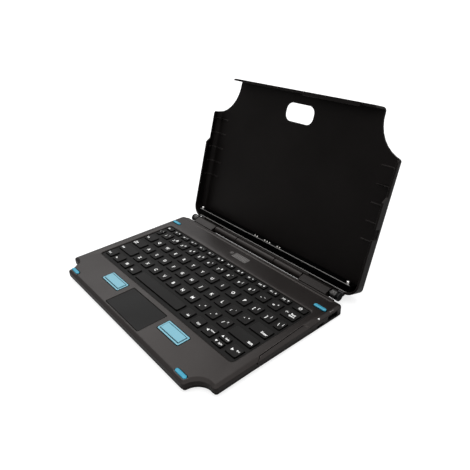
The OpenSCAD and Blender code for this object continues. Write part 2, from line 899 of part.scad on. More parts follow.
module dock_bar() {
    color(shell_colour * 1.3)
    on_cover()
        difference() {
            intersection() {
                span_box([-bar_half, bar_y[0], 0], [bar_half, bar_y[1], bar_front]);
                up_cover(0, 20) cover_section(cover_wall + 0.05, 20);
                slab(-1, 20) pocket_plan(0.05);
            }
            // room for the contact board and its block
            span_box([pogo_block_x[0] - 2, bar_y[0] + 1.6, -1],
                     [pogo_block_x[1] + 2, bar_y[1] - 1.8, pin_line_z + 0.8]);
            span_box([pogo_block_x[0] - 0.2, bar_y[1] - 3, pin_line_z - 1.7],
                     [pogo_block_x[1] + 0.2, bar_y[1] + 1, pin_line_z + 1.1]);
            both_sides()
                translate([guide_x, bar_y[1] - 4, pin_line_z])
                    rotate([-90, 0, 0])
                        cylinder(h = 5, r = 1.23, $fn = 24);
            dock_screw_holes();
        }
}

module dock_screw_holes() {
    both_sides()
        for (x = dock_screw_x)
            translate([x, dock_screw_y, -cover_wall - 1]) {
                cylinder(h = 2.2, r = 2.3, $fn = 32);
                cylinder(h = 9.6, r = screw_r + 0.05, $fn = 24);
            }
}

module dock_screws() {
    color(steel_colour)
    on_cover()
        both_sides()
            for (x = dock_screw_x)
                translate([x, dock_screw_y, -cover_wall + 0.2])
                    screw(2.1, 1, 6.8);
}

module pogo_block() {
    color([0.1, 0.1, 0.1])
    on_cover()
        difference() {
            span_box([pogo_block_x[0], bar_y[1] - 3, pin_line_z - 1.5],
                     [pogo_block_x[1], bar_y[1] + 0.2, pin_line_z + 0.9]);
            for (x = pogo_x)
                translate([x, bar_y[1] - 4, pin_line_z])
                    rotate([-90, 0, 0])
                        cylinder(h = 6, r = 0.6, $fn = 16);
        }
}

module pogo_pins() {
    color(brass_colour)
    on_cover()
        for (x = pogo_x)
            translate([x, bar_y[1] - 3.2, pin_line_z])
                rotate([-90, 0, 0]) {
                    cylinder(h = 3.8, r = 0.57, $fn = 16);
                    translate([0, 0, 3.8])
                        sphere(0.57, $fn = 16);
                }
}

// Round pins that lead the tablet onto the contacts
module guide_pins() {
    color(steel_colour)
    on_cover()
        both_sides()
            translate([guide_x, bar_y[1] - 4, pin_line_z])
                rotate([-90, 0, 0]) {
                    cylinder(h = 4, r = 1.2, $fn = 24);
                    translate([0, 0, 4])
                        cylinder(h = guide_len, r = guide_r, $fn = 32);
                }
}

module dock_board() {
    color(board_colour)
    on_cover()
        span_box([pogo_block_x[0] - 1, bar_y[0] + 2.6, 1.5], [pogo_block_x[1] + 1, bar_y[0] + 3.4, 9.5]);
}

// ---------------------------------------------------------------- what is drawn

bottom_cover();
deck_cover();
key_frame();
key_tray();
dome_sheet();
keyboard_board();
trackpad_plate();
trackpad_board();
button_switches();
mouse_button(-1);  // button_left
mouse_button(1);  // button_right
bumper_pads();
badge_plate();
usb_a_socket();
usb_c_socket();
socket_board();
status_light();
rubber_feet();
case_screws();
mirror([1, 0, 0]) hinge_cap();  // hinge_cap_left
hinge_cap();  // hinge_cap_right
mirror([1, 0, 0]) hinge_bracket();  // hinge_bracket_left
hinge_bracket();  // hinge_bracket_right
tablet_shell();
dock_bar();
hinge_barrel();
hinge_pins();
hinge_knuckles();
pogo_block();
pogo_pins();
guide_pins();
dock_board();
dock_screws();
keys(function_corners);  // function_keys
for (r = KEY_ROWS)
    keys(r[1] == 4 ? concat([grave_corners], row_corners(r)) : row_corners(r));
for (k = SINGLE_KEYS)
    keys([key_corners(k)]);
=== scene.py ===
import json
import math

import bmesh
import bpy
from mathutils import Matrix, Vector
from mathutils.geometry import tessellate_polygon


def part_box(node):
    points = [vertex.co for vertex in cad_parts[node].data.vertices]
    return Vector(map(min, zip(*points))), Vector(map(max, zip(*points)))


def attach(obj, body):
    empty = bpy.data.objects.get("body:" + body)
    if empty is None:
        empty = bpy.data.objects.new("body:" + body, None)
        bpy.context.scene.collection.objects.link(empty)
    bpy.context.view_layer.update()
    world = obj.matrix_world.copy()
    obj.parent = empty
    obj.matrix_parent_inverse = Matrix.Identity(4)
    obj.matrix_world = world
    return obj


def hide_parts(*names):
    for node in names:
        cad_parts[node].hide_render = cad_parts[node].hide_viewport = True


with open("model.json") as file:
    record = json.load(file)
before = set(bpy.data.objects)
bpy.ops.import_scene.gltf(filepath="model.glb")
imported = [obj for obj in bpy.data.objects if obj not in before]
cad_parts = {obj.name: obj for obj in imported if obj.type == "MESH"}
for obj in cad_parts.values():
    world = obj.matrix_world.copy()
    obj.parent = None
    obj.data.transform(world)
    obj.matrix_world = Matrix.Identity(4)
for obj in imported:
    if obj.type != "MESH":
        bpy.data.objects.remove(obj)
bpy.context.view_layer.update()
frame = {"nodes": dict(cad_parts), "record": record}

# Lengths below are in millimetres. Meshes are made in metres, in the row frame.
MM = 0.001

# -------- sizes from the frame


def node_box(name):
    """Lowest and highest corner of a CAD node, in millimetres."""
    low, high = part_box(name)
    return low / MM, high / MM


def merged_mesh(name):
    """The CAD node's mesh as a bmesh, with its split vertices joined again."""
    bm = bmesh.new()
    bm.from_mesh(frame["nodes"][name].data)
    bmesh.ops.remove_doubles(bm, verts=bm.verts, dist=0.002 * MM)
    return bm


def solid_boxes(name):
    """The box of each separate solid of a CAD node, in millimetres, from left to right."""
    bm = merged_mesh(name)
    left, boxes = set(bm.verts), []
    while left:
        todo, solid = [left.pop()], []
        while todo:
            v = todo.pop()
            solid.append(v.co / MM)
            for e in v.link_edges:
                other = e.other_vert(v)
                if other in left:
                    left.remove(other)
                    todo.append(other)
        boxes.append((Vector(map(min, *solid)), Vector(map(max, *solid))))
    bm.free()
    return sorted(boxes, key=lambda b: (round(b[0].x, 1), b[0].y))


bottom_low, bottom_high = node_box("bottom_cover")
deck_high = node_box("deck_cover")[1]
frame_low, frame_high = node_box("key_frame")

HALF_W = bottom_high.x
FRONT_Y = bottom_low.y
BACK_Y = deck_high.y
DECK_Z = node_box("key_space")[1].z
SEAM_Z = bottom_low.z + 4.4
UNDERSIDE = bottom_low.z
ROOF_Z = DECK_Z - 1.8
WALL = 2.2

joints = {j["name"]: j for j in frame["record"]["behaviour"]["joints"]}
HINGE_Y = joints["cover_hinge"]["pos_m"][1] / MM
HINGE_Z = joints["cover_hinge"]["pos_m"][2] / MM

# -------- outlines


def arc(c, r, a0, a1, n):
    """Points on an arc about c, angles in degrees."""
    turns = [math.radians(a0 + (a1 - a0) * i / n) for i in range(n + 1)]
    return [(c[0] + r * math.cos(a), c[1] + r * math.sin(a)) for a in turns]


def quarter(step, first, end):
    """Angles in radians of the steps from first up to end, step degrees apart."""
    return [math.radians(step * i) for i in range(first, end)]


def disc(c, r, sides):
    """The outline of a circle as a function of how far it is moved inwards."""
    return lambda inset: arc(c, r - inset, 0, 360 - 360 / sides, sides - 1)


def grown(low, high, by):
    """The corners of a box's plan, moved outwards."""
    return (low.x - by, low.y - by), (high.x + by, high.y + by)


def mirrored(points):
    return [(-x, y) for x, y in reversed(points)]


# Corners moved inwards keep at least this radius
LEAST_R = 0.25


def round_rect(low, high, r, grow=0, n=5):
    """A rectangle with round corners, moved outwards by grow, anticlockwise."""
    x0, y0, x1, y1 = low[0] - grow, low[1] - grow, high[0] + grow, high[1] + grow
    r = max(r + grow, min(r, LEAST_R))
    out = []
    for cx, cy, a in ((x1, y0, -90), (x1, y1, 0), (x0, y1, 90), (x0, y0, 180)):
        c = (cx - math.copysign(r, cx - (x0 + x1) / 2), cy - math.copysign(r, cy - (y0 + y1) / 2))
        out += arc(c, r, a, a + 90, n)
    return out


def rect(low, high, r, n=5):
    """The outline of a rounded rectangle as a function of how far it is moved inwards."""
    return lambda inset: round_rect(low, high, r, -inset, n)


def scooped_corner(c, r, x, y, e, inset):
    """A corner cut by a hollow arc about c, with both of its ends rounded to radius e."""
    c1 = (c[0] - math.sqrt((r + e) ** 2 - (y + e - c[1]) ** 2), y + e)
    c2 = (x - e, c[1] + math.sqrt((r + e) ** 2 - (x - e - c[0]) ** 2))
    a1 = math.degrees(math.atan2(c[1] - c1[1], c[0] - c1[0]))
    a2 = math.degrees(math.atan2(c2[1] - c[1], c2[0] - c[0]))
    return (
        arc(c1, e - inset, -90, a1, 6)
        + arc(c, r + inset, a1 + 180, a2, 14)
        + arc(c2, e - inset, a2 - 180, 0, 6)
    )


NOTCH_C = (HALF_W - 6.5, FRONT_Y + 2.1)
NOTCH_R = 13.5
CORNER_R = 4
REAR_R = 5


def base_outline(inset):
    """Plan of the keyboard base, moved inwards by inset."""
    right = scooped_corner(NOTCH_C, NOTCH_R, HALF_W, FRONT_Y, CORNER_R, inset)
    right += arc((HALF_W - REAR_R, BACK_Y - REAR_R), REAR_R - inset, 0, 90, 8)
    return right + mirrored(right)


def shrunk(points):
    """The outline of an anticlockwise polygon as a function of how far it is moved inwards."""
    count = len(points)

    def moved(inset):
        out = []
        for i, p in enumerate(points):
            a = Vector(p) - Vector(points[i - 1])
            b = Vector(points[(i + 1) % count]) - Vector(p)
            na = Vector((-a.y, a.x)).normalized()
            nb = Vector((-b.y, b.x)).normalized()
            both = na + nb
            shift = both * (2 * inset / max(both.length_squared, 0.4))
            out.append((p[0] + shift.x, p[1] + shift.y))
        return out

    return moved


# -------- meshes


def upright(u, v, w):
    return (u, v, w)


def along_x(u, v, w):
    """For outlines in Y and Z that are extruded along X."""
    return (w, u, v)


def plate(bm, outer, profile, holes=(), place=upright, centre_rings=()):
    """A closed solid. profile lists (inset, level) from the edge of the top face, round the
    side, to the edge of the bottom face. A level is a number or a function of x and y. Each
    hole is (outline, profile) in the same way."""
    tops, bottoms = [], []
    for outline, steps in [(outer, profile)] + list(holes):
        rings = []
        for inset, level in steps:
            flat = outline(inset)
            levels = [level(x, y) if callable(level) else level for x, y in flat]
            points = [Vector(place(x, y, z)) * MM for (x, y), z in zip(flat, levels)]
            rings.append([bm.verts.new(p) for p in points])
        for a, b in zip(rings, rings[1:]):
            for i in range(len(a)):
                j = (i + 1) % len(a)
                bm.faces.new((a[i], b[i], b[j], a[j]))
        tops.append(rings[0])
        bottoms.append(rings[-1])
    inner = tops
    for ring in centre_rings:
        points = [Vector(place(*p)) * MM for p in ring]
        verts = [bm.verts.new(p) for p in points]
        for i in range(len(verts)):
            j = (i + 1) % len(verts)
            bm.faces.new((inner[0][i], inner[0][j], verts[j], verts[i]))
        inner = [verts]
    fill(bm, inner, place)
    fill(bm, bottoms, place)
    bmesh.ops.recalc_face_normals(bm, faces=bm.faces)


def fill(bm, loops, place):
    """Fills the flat area inside the first loop and outside the others."""
    flat = []
    for loop in loops:
        if place is upright:
            flat.append([Vector((v.co.x, v.co.y, 0)) / MM for v in loop])
        else:
            flat.append([Vector((v.co.y, v.co.z, 0)) / MM for v in loop])
    verts = [v for loop in loops for v in loop]
    for tri in tessellate_polygon(flat):
        corner = [verts[i] for i in tri]
        if len(set(corner)) == 3 and bm.faces.get(corner) is None:
            bm.faces.new(corner)


def softened(low, high, edge, step=3):
    """Profile of a plain edge rounded at the top, from the top face to the bottom face."""
    top = [
        (edge * (1 - math.sin(a)), high - edge * (1 - math.cos(a)))
        for a in [math.pi / 2 * i / step for i in range(step + 1)]
    ]
    return top + [(0, low + edge * 0.4), (edge * 0.4, low)]


def lathe(bm, profile, origin, axis, sides=32):
    """A closed solid of revolution. profile lists (distance along the axis, radius)."""
    axis = Vector(axis).normalized()
    turn = Vector((0, 0, 1)).rotation_difference(axis).to_matrix()
    rings = []
    for along, radius in profile:
        ring = []
        for i in range(sides):
            a = 2 * math.pi * i / sides
            p = turn @ Vector((radius * math.cos(a), radius * math.sin(a), along))
            ring.append(bm.verts.new((Vector(origin) + p) * MM))
        rings.append(ring)
    for a, b in zip(rings, rings[1:]):
        for i in range(sides):
            j = (i + 1) % sides
            bm.faces.new((a[i], a[j], b[j], b[i]))
    bm.faces.new(reversed(rings[0]))
    bm.faces.new(rings[-1])
    bmesh.ops.recalc_face_normals(bm, faces=bm.faces)


def strip(bm, rings):
    """Joins rings of vertices to a closed solid, with two triangles to each side."""
    for a, b in zip(rings, rings[1:]):
        for i in range(len(a)):
            j = (i + 1) % len(a)
            bm.faces.new((a[i], a[j], b[j]))
            bm.faces.new((a[i], b[j], b[i]))
    bm.faces.new(rings[0])
    bm.faces.new(rings[-1])


def mesh_object(name, bm):
    """A new object in the scene with a bmesh's shape."""
    mesh = bpy.data.meshes.new(name)
    bm.to_mesh(mesh)
    bm.free()
    obj = bpy.data.objects.new(name, mesh)
    bpy.context.scene.collection.objects.link(obj)
    return obj


def make(name, bm, material, body, replaces=(), angle=32, weighted=True):
    """Turns a bmesh into a piece that rides on a body."""
    obj = mesh_object(name, bm)
    dress(obj, material, angle, weighted)
    if body:
        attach(obj, body)
        if replaces:
            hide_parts(*replaces)
    return obj


def dress(obj, material, angle=32, weighted=True):
    """Smooth shading with edges sharper than angle kept sharp, and a material."""
    mesh = obj.data
    mesh.materials.clear()
    mesh.materials.append(material)
    mesh.polygons.foreach_set("use_smooth", [True] * len(mesh.polygons))
    mesh.set_sharp_from_angle(angle=math.radians(angle))
    if weighted:
        even = obj.modifiers.new("even", "WEIGHTED_NORMAL")
        even.keep_sharp = True


def combine(obj, cutters, operation):
    """Cuts the cutters out of obj, or joins them to it, and leaves one plain mesh."""
    for cutter in cutters:
        step = obj.modifiers.new("step", "BOOLEAN")
        step.object = cutter
        step.operation = operation
        step.solver = "EXACT"
    bpy.context.view_layer.update()
    depsgraph = bpy.context.evaluated_depsgraph_get()
    mesh = bpy.data.meshes.new_from_object(obj.evaluated_get(depsgraph), depsgraph=depsgraph)
    obj.modifiers.clear()
    obj.data = mesh
    for cutter in cutters:
        bpy.data.objects.remove(cutter)


def tool(fill_in):
    """An object that only serves to cut or join, filled by a function."""
    bm = bmesh.new()
    fill_in(bm)
    return mesh_object("tool", bm)


def bevelled_copy(name, node, material, body, bevel=0.3, segments=2, clamp=False):
    """A piece with the CAD node's own shape and rounded edges, which stands for that node."""
    bm = merged_mesh(node)
    bmesh.ops.dissolve_limit(
        bm, angle_limit=math.radians(0.4), verts=bm.verts, edges=bm.edges, use_dissolve_boundaries=False
    )
    obj = mesh_object(name, bm)
    mesh = obj.data
    mesh.materials.append(material)
    mesh.polygons.foreach_set("use_smooth", [True] * len(mesh.polygons))
    edge = obj.modifiers.new("edge", "BEVEL")
    edge.width = bevel * MM
    edge.segments = segments
    edge.limit_method = "ANGLE"
    edge.angle_limit = math.radians(30)
    edge.use_clamp_overlap = clamp
    mesh.set_sharp_from_angle(angle=math.radians(60))
    even = obj.modifiers.new("even", "WEIGHTED_NORMAL")
    even.keep_sharp = False
    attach(obj, body)
    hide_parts(node)
    return obj


# -------- materials


def put(tree, kind, inputs=None, **settings):
    """Adds a shader node. inputs maps socket names to values or to other nodes' sockets."""
    made = tree.nodes.new("ShaderNode" + kind)
    for key, value in settings.items():
        setattr(made, key, value)
    for key, value in (inputs or {}).items():
        if isinstance(value, bpy.types.NodeSocket):
            tree.links.new(value, made.inputs[key])
        else:
            made.inputs[key].default_value = value
    return made


def calc(tree, operation, a, b=0.0, clamp=False):
    return put(tree, "Math", {0: a, 1: b}, operation=operation, use_clamp=clamp).outputs[0]


def spread(tree, value, low, high, to_low, to_high):
    """value between low and high, mapped to between to_low and to_high."""
    found = put(
        tree,
        "MapRange",
        {"Value": value, "From Min": low, "From Max": high, "To Min": to_low, "To Max": to_high},
    )
    return found.outputs["Result"]


def blend(tree, share, a, b):
    mixed = tree.nodes.new("ShaderNodeMix")
    mixed.data_type = "RGBA"
    for socket, value in ((mixed.inputs[0], share), (mixed.inputs[6], a), (mixed.inputs[7], b)):
        if isinstance(value, bpy.types.NodeSocket):
            tree.links.new(value, socket)
        elif socket is mixed.inputs[0]:
            socket.default_value = value
        else:
            socket.default_value = (*value, 1)
    return mixed.outputs[2]


def noise(tree, place, scale, detail=3.0, distortion=0.0):
    """Noise between 0 and 1, with scale in features per metre."""
    return put(
        tree,
        "TexNoise",
        {"Vector": place, "Scale": scale, "Detail": detail, "Distortion": distortion},
    ).outputs["Fac"]


def edge_mask(tree, radius, strength, patches):
    """1 on outer and inner edges, broken up by patches, and 0 elsewhere."""
    rounded = put(tree, "Bevel", {"Radius": radius * MM}, samples=4).outputs["Normal"]
    flat = put(tree, "NewGeometry").outputs["True Normal"]
    dot = put(tree, "VectorMath", {0: rounded, 1: flat}, operation="DOT_PRODUCT").outputs["Value"]
    bend = calc(tree, "MULTIPLY", calc(tree, "SUBTRACT", 1.0, dot), strength, clamp=True)
    return calc(tree, "MULTIPLY", bend, spread(tree, patches, 0.35, 0.62, 0.35, 1.0))


# Colour of the painted shade low down in the gaps, and the height over which it fades out
PAINTED_SHADE_COLOUR = (0.0012, 0.0012, 0.0012)
PAINTED_SHADE_FADE = 0.15


def painted_shade_mask(tree, place, fine, level):
    """Mask of the painted shade: 1 below a level in millimetres and 0 above it, with a slightly uneven
    edge.
    """
    up = put(tree, "SeparateXYZ", {"Vector": place}).outputs["Z"]
    uneven = calc(tree, "ADD", up, spread(tree, fine, 0.3, 0.7, -0.05 * MM, 0.05 * MM))
    return spread(tree, uneven, (level - PAINTED_SHADE_FADE) * MM, level * MM, 1.0, 0.0)


def start(name, **sockets):
    """A new material: its tree, its Principled node and the object's own coordinates."""
    mat = bpy.data.materials.new(name)
    mat.use_nodes = True
    tree = mat.node_tree
    shader = tree.nodes["Principled BSDF"]
    for key, value in sockets.items():
        shader.inputs[key.replace("_", " ")].default_value = value
    place = put(tree, "TexCoord").outputs["Object"]
    return mat, tree, shader, place


def moulded(name, colour, rubbed_and_highlight_colour, rough, grain=0.35, depth=0.03, edge=0.5, rubbing_and_highlight=6.0,
            mottle=0.14, scuff=0.25, speck=0.16, shade_below=None, **sockets):
    """Moulded plastic or rubber: spark-eroded grain, slight mottling, faint scuffs and
    paler, smoother edges; the paler edges are partly wear and partly a painted highlight.
    grain, depth and edge are in millimetres. Painted shade darkens what lies lower than shade_below."""
    mat, tree, shader, place = start(name, **sockets)
    broad = noise(tree, place, 22, 4.0)
    patches = noise(tree, place, 160, 4.0, 0.6)
    fine = noise(tree, place, 1 / (grain * MM), 2.0)
    pits = put(tree, "TexVoronoi", {"Vector": place, "Scale": 1 / (grain * 1.7 * MM)}).outputs["Distance"]
    drawn = put(tree, "Mapping", {"Vector": place, "Scale": (1.0, 0.16, 1.0)}).outputs[0]
    streaks = noise(tree, drawn, 420, 5.0, 1.2)
    # Paler edges: partly wear, partly a painted highlight along the edges
    rubbed_and_highlit_edges = edge_mask(tree, edge, rubbing_and_highlight, patches)
    scuffed = spread(tree, streaks, 0.6, 0.74, 0.0, scuff)
    scuffed = calc(tree, "MULTIPLY", scuffed, spread(tree, broad, 0.4, 0.65, 0.0, 1.0))
    dark = tuple(c * (1 - mottle) for c in colour)
    light = tuple(min(1, c * (1 + mottle)) for c in colour)
    tone = blend(tree, spread(tree, broad, 0.3, 0.7, 0.0, 1.0), dark, light)
    tone = blend(tree, spread(tree, fine, 0.3, 0.75, 0.0, speck), tone, rubbed_and_highlight_colour)
    tone = blend(tree, calc(tree, "MAXIMUM", rubbed_and_highlit_edges, scuffed), tone, rubbed_and_highlight_colour)
    # Painted shade: darker below shade_below, on the sides of keys, buttons and pads
    if shade_below is not None:
        tone = blend(tree, painted_shade_mask(tree, place, fine, shade_below), tone, PAINTED_SHADE_COLOUR)
    tree.links.new(tone, shader.inputs["Base Color"])
    matt = spread(tree, broad, 0.3, 0.7, rough - 0.04, rough + 0.04)
    matt = calc(tree, "ADD", matt, spread(tree, fine, 0.3, 0.7, -0.03, 0.03))
    matt = calc(tree, "SUBTRACT", matt, calc(tree, "MULTIPLY", rubbed_and_highlit_edges, 0.12), clamp=True)
    tree.links.new(matt, shader.inputs["Roughness"])
    height = calc(tree, "ADD", fine, calc(tree, "MULTIPLY", pits, 0.6))
    bump = put(tree, "Bump", {"Height": height, "Strength": 0.35, "Distance": depth * MM})
    tree.links.new(bump.outputs[0], shader.inputs["Normal"])
    return mat


def metal(name, colour, tarnish, rough, along=(1.0, 1.0, 1.0), scratch=2600, depth=0.006, **sockets):
    """Metal with brushed or tumbled marks and faint tarnish."""
    mat, tree, shader, place = start(name, Metallic=1.0, **sockets)
    drawn = put(tree, "Mapping", {"Vector": place, "Scale": along}).outputs[0]
    lines = noise(tree, drawn, scratch, 3.0)
    cloud = noise(tree, place, 240, 4.0)
    tone = blend(tree, spread(tree, cloud, 0.4, 0.7, 0.0, 0.5), colour, tarnish)
    tone = blend(tree, spread(tree, lines, 0.35, 0.7, 0.0, 0.3), tone, tarnish)
    tree.links.new(tone, shader.inputs["Base Color"])
    tree.links.new(spread(tree, lines, 0.3, 0.7, rough - 0.08, rough + 0.1), shader.inputs["Roughness"])
    bump = put(tree, "Bump", {"Height": lines, "Strength": 0.3, "Distance": depth * MM})
    tree.links.new(bump.outputs[0], shader.inputs["Normal"])
    return mat


def board_material():
    """Solder mask over copper tracks, with bare pads."""
    mat, tree, shader, place = start("circuit_board")
    grid = put(tree, "Mapping", {"Vector": place, "Scale": (240.0, 240.0, 1.0)}).outputs[0]
    tracks = put(tree, "TexBrick", {"Vector": grid, "Scale": 1.0, "Mortar Size": 0.03}, offset=0.3)
    pads = put(tree, "TexVoronoi", {"Vector": place, "Scale": 160.0}).outputs["Distance"]
    tone = blend(tree, tracks.outputs["Fac"], (0.01, 0.1, 0.045), (0.02, 0.17, 0.08))
    tone = blend(tree, spread(tree, pads, 0.1, 0.13, 1.0, 0.0), tone, (0.55, 0.5, 0.38))
    tree.links.new(tone, shader.inputs["Base Color"])
    tree.links.new(spread(tree, noise(tree, place, 700), 0.3, 0.7, 0.3, 0.45), shader.inputs["Roughness"])
    bump = put(tree, "Bump", {"Height": tracks.outputs["Fac"], "Strength": 0.4, "Distance": 0.03 * MM})
    tree.links.new(bump.outputs[0], shader.inputs["Normal"])
    return mat


# Faint warm tint of the plastic's sheen
WARM = (1.0, 0.92, 0.89, 1.0)

# Its paler edges are partly wear and partly a painted highlight on the chamfers and round the openings
deck_plastic = moulded(
    "deck_plastic", (0.0072, 0.0057, 0.0053), (0.1, 0.088, 0.084), 0.35,
    edge=0.4, rubbing_and_highlight=2.0, scuff=0.06, speck=0.03, Specular_IOR_Level=0.26, Specular_Tint=WARM)
housing_plastic = moulded(
    "housing_plastic", (0.0052, 0.0043, 0.004), (0.06, 0.054, 0.052), 0.38,
    rubbing_and_highlight=2.0, scuff=0.06, speck=0.03, Specular_IOR_Level=0.18, Specular_Tint=WARM)
shell_plastic = moulded(
    "shell_plastic", (0.0026, 0.0021, 0.002), (0.06, 0.054, 0.052), 0.4, grain=0.5,
    depth=0.05, rubbing_and_highlight=6.0, scuff=0.06, speck=0.05, Specular_IOR_Level=0.17, Specular_Tint=WARM)
# Its much paler edges are partly wear and mostly a painted highlight along the bar's edges
bar_plastic = moulded(
    "bar_plastic", (0.0004, 0.0004, 0.0005), (0.1, 0.097, 0.095), 0.35,
    edge=0.3, rubbing_and_highlight=4.0, mottle=0.1, scuff=0.01, speck=0.003, Specular_IOR_Level=0.02)
# Pale plastic of the beads on the contact bar: a painted highlight for the light lines on the bar's edges
highlight_bead_material = moulded(
    "highlight_bead_material", (0.16, 0.155, 0.15), (0.3, 0.29, 0.28), 0.3,
    edge=0.3, rubbing_and_highlight=3.0, Specular_IOR_Level=0.4)
frame_plastic = moulded(
    "frame_plastic", (0.0055, 0.0052, 0.005), (0.02, 0.019, 0.018), 0.55,
    grain=0.25, depth=0.015, rubbing_and_highlight=2.0, speck=0.06, Specular_IOR_Level=0.1)
# shade_below paints shade on the lower sides of the keys
key_rubber = moulded(
    "key_rubber", (0.0068, 0.0064, 0.0062), (0.05, 0.048, 0.047), 0.55, grain=0.25, depth=0.012,
    edge=0.4, rubbing_and_highlight=4.0, scuff=0.08, speck=0.06, shade_below=DECK_Z - 0.28, Specular_IOR_Level=0.12)
black_rubber = moulded(
    "black_rubber", (0.01, 0.01, 0.01), (0.03, 0.03, 0.03), 0.72, grain=0.6, depth=0.06,
    rubbing_and_highlight=3.0, Specular_IOR_Level=0.2)
# shade_below paints shade on the buttons' sides, just under the deck's top
pale_blue = moulded(
    "pale_blue_plastic", (0.118, 0.34, 0.43), (0.42, 0.72, 0.8), 0.4, grain=0.3, depth=0.012,
    edge=0.35, rubbing_and_highlight=4.0, mottle=0.04, scuff=0.12, speck=0.08, shade_below=DECK_Z - 0.04)
# shade_below paints shade on the bumper pads' sides, up to just over the deck's top
blue_rubber = moulded(
    "blue_rubber", (0.012, 0.24, 0.37), (0.14, 0.6, 0.74), 0.45, grain=0.3, depth=0.02,
    edge=0.4, rubbing_and_highlight=5.0, mottle=0.08, speck=0.1, shade_below=DECK_Z + 0.05)
trackpad_film = moulded(
    "trackpad_film", (0.0052, 0.005, 0.0049), (0.03, 0.03, 0.03), 0.45, grain=0.2, depth=0.006,
    edge=0.3, rubbing_and_highlight=2.0, mottle=0.06, scuff=0.15, speck=0.06, Specular_IOR_Level=0.1)
legend_print = moulded(
    "legend_print", (0.88, 0.88, 0.87), (0.7, 0.7, 0.69), 0.5,
    grain=0.2, depth=0.008, edge=0.05, rubbing_and_highlight=0.0, mottle=0.04, scuff=0.2)
badge_dark = moulded("badge_dark", (0.05, 0.047, 0.046), (0.16, 0.15, 0.145), 0.35, edge=0.3, rubbing_and_highlight=5.0)
badge_print = moulded("badge_print", (0.15, 0.14, 0.135), (0.24, 0.23, 0.22), 0.45, edge=0.1, rubbing_and_highlight=1.0)
light_pipe = moulded(
    "light_pipe", (0.85, 0.85, 0.84), (0.92, 0.92, 0.9), 0.2, grain=0.3, depth=0.01, rubbing_and_highlight=1.0, mottle=0.03)
# Pitch black without sheen, for the painted shade in each relief's groove
groove_shade_black = moulded(
    "groove_shade_black", (0.002, 0.002, 0.002), (0.006, 0.006, 0.006), 0.7, rubbing_and_highlight=0.5,
    Specular_IOR_Level=0.0)
insulator = moulded(
    "insulator", (0.003, 0.003, 0.003), (0.03, 0.03, 0.03), 0.45, rubbing_and_highlight=2.0, speck=0.03,
    Specular_IOR_Level=0.08)
steel = metal("steel", (0.5, 0.5, 0.51), (0.33, 0.32, 0.31), 0.36, along=(0.08, 1.0, 1.0))
dark_steel = metal("dark_steel", (0.06, 0.06, 0.062), (0.03, 0.029, 0.028), 0.42)
knuckle_steel = metal("knuckle_steel", (0.12, 0.118, 0.115), (0.06, 0.058, 0.056), 0.4)
contact_tip = moulded(
    "contact_tip", (0.94, 0.92, 0.87), (0.98, 0.97, 0.94), 0.22, grain=0.1, depth=0.002,
    edge=0.1, rubbing_and_highlight=1.0, mottle=0.03, scuff=0.05, Metallic=0.1)
bright_steel = metal("bright_steel", (0.93, 0.92, 0.9), (0.8, 0.78, 0.75), 0.24, depth=0.003)
gold = metal("gold_contact", (0.98, 0.95, 0.86), (0.92, 0.84, 0.66), 0.3, depth=0.002)
circuit_board = board_material()

# -------- keyboard base

CHAMFER_W = 3.2
CHAMFER_H = 1.6
WELL_R = 3.4
WELL_EDGE = 1.5
# How far the well's wall stands back under its edge
WELL_LEDGE = 1.6
pad_low, pad_high = node_box("trackpad_plate")
left_low, left_high = node_box("button_left")
right_low, right_high = node_box("button_right")
BUTTON_FLANGE = 1
# Gaps in the deck round the trackpad, the buttons and the bumper pads
PAD_GAP = 0.45
BUTTON_GAP = 0.6
BUMPER_GAP = 0.4
pad_boxes = solid_boxes("bumper_pads")
screw_boxes = [b for b in solid_boxes("case_screws") if b[0].z < 2]
usb_a_low, usb_a_high = node_box("usb_a_socket")
usb_c_low, usb_c_high = node_box("usb_c_socket")
light_low, light_high = node_box("status_light")


def deck_profile():
    """Edge of the deck: flat top, broad sloping edge, side wall, seam and inner wall."""
    top = DECK_Z
    return [
        (CHAMFER_W + 0.4, top), (CHAMFER_W, top - 0.05), (CHAMFER_W - 0.4, top - 0.2),
        (0.4, top - CHAMFER_H), (0.12, top - CHAMFER_H - 0.2), (0, top - CHAMFER_H - 0.6),
        (0, SEAM_Z + 0.15), (0.12, SEAM_Z), (WALL, SEAM_Z), (WALL, ROOF_Z),
    ]


def opening(low, high, r, edge, z=None):
    """A hole through the deck with a soft edge round its top, wider below z if that is given."""
    steps = [(-edge, DECK_Z), (-edge * 0.5, DECK_Z - edge * 0.16), (0, DECK_Z - edge * 0.5)]
    if z is None:
        steps.append((0, ROOF_Z))
    else:
        steps += [(0, z), (-WELL_LEDGE, z), (-WELL_LEDGE, ROOF_Z)]
    return (rect(low, high, r), steps)


def deck():
    bm = bmesh.new()
    well = grown(frame_low, frame_high, 0.2)
    holes = [opening(*well, WELL_R, WELL_EDGE, z=frame_high.z - 1.9)]
    holes.append(opening(*grown(pad_low, pad_high, PAD_GAP), 1.1, 0.7))
    for box in ((left_low, left_high), (right_low, right_high)):
        holes.append(opening(*grown(*box, BUTTON_GAP - BUTTON_FLANGE), 1.6, 0.4))
    for low, high in pad_boxes:
        end_r = (high.y - low.y) / 2 + 0.35
        holes.append(opening(*grown(low, high, BUMPER_GAP), end_r, 0.3))
    plate(bm, base_outline, deck_profile(), holes)
    obj = make("deck_panel", bm, deck_plastic, None)
    combine(obj, [tool(relief(s)) for s in (-1, 1)] + [tool(port(*b)) for b in port_cuts()], "DIFFERENCE")
    combine(obj, [tool(ridge)], "UNION")
    dress(obj, deck_plastic, 28)
    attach(obj, "base")
    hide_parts("deck_cover")


# Inner line of the relief on a side edge, as distance from the middle and place along the side
RELIEF_LINE = [(130.8, -23.6), (126.1, -17), (124, 36.7), (130.3, 40.2)]
RELIEF_STEP = 0.4
# How far out the tool that cuts the relief goes, past the base's side
RELIEF_REACH = 133
# Width and depth of the groove along that line
GROOVE_W = 1.1
GROOVE_DEPTH = 0.6


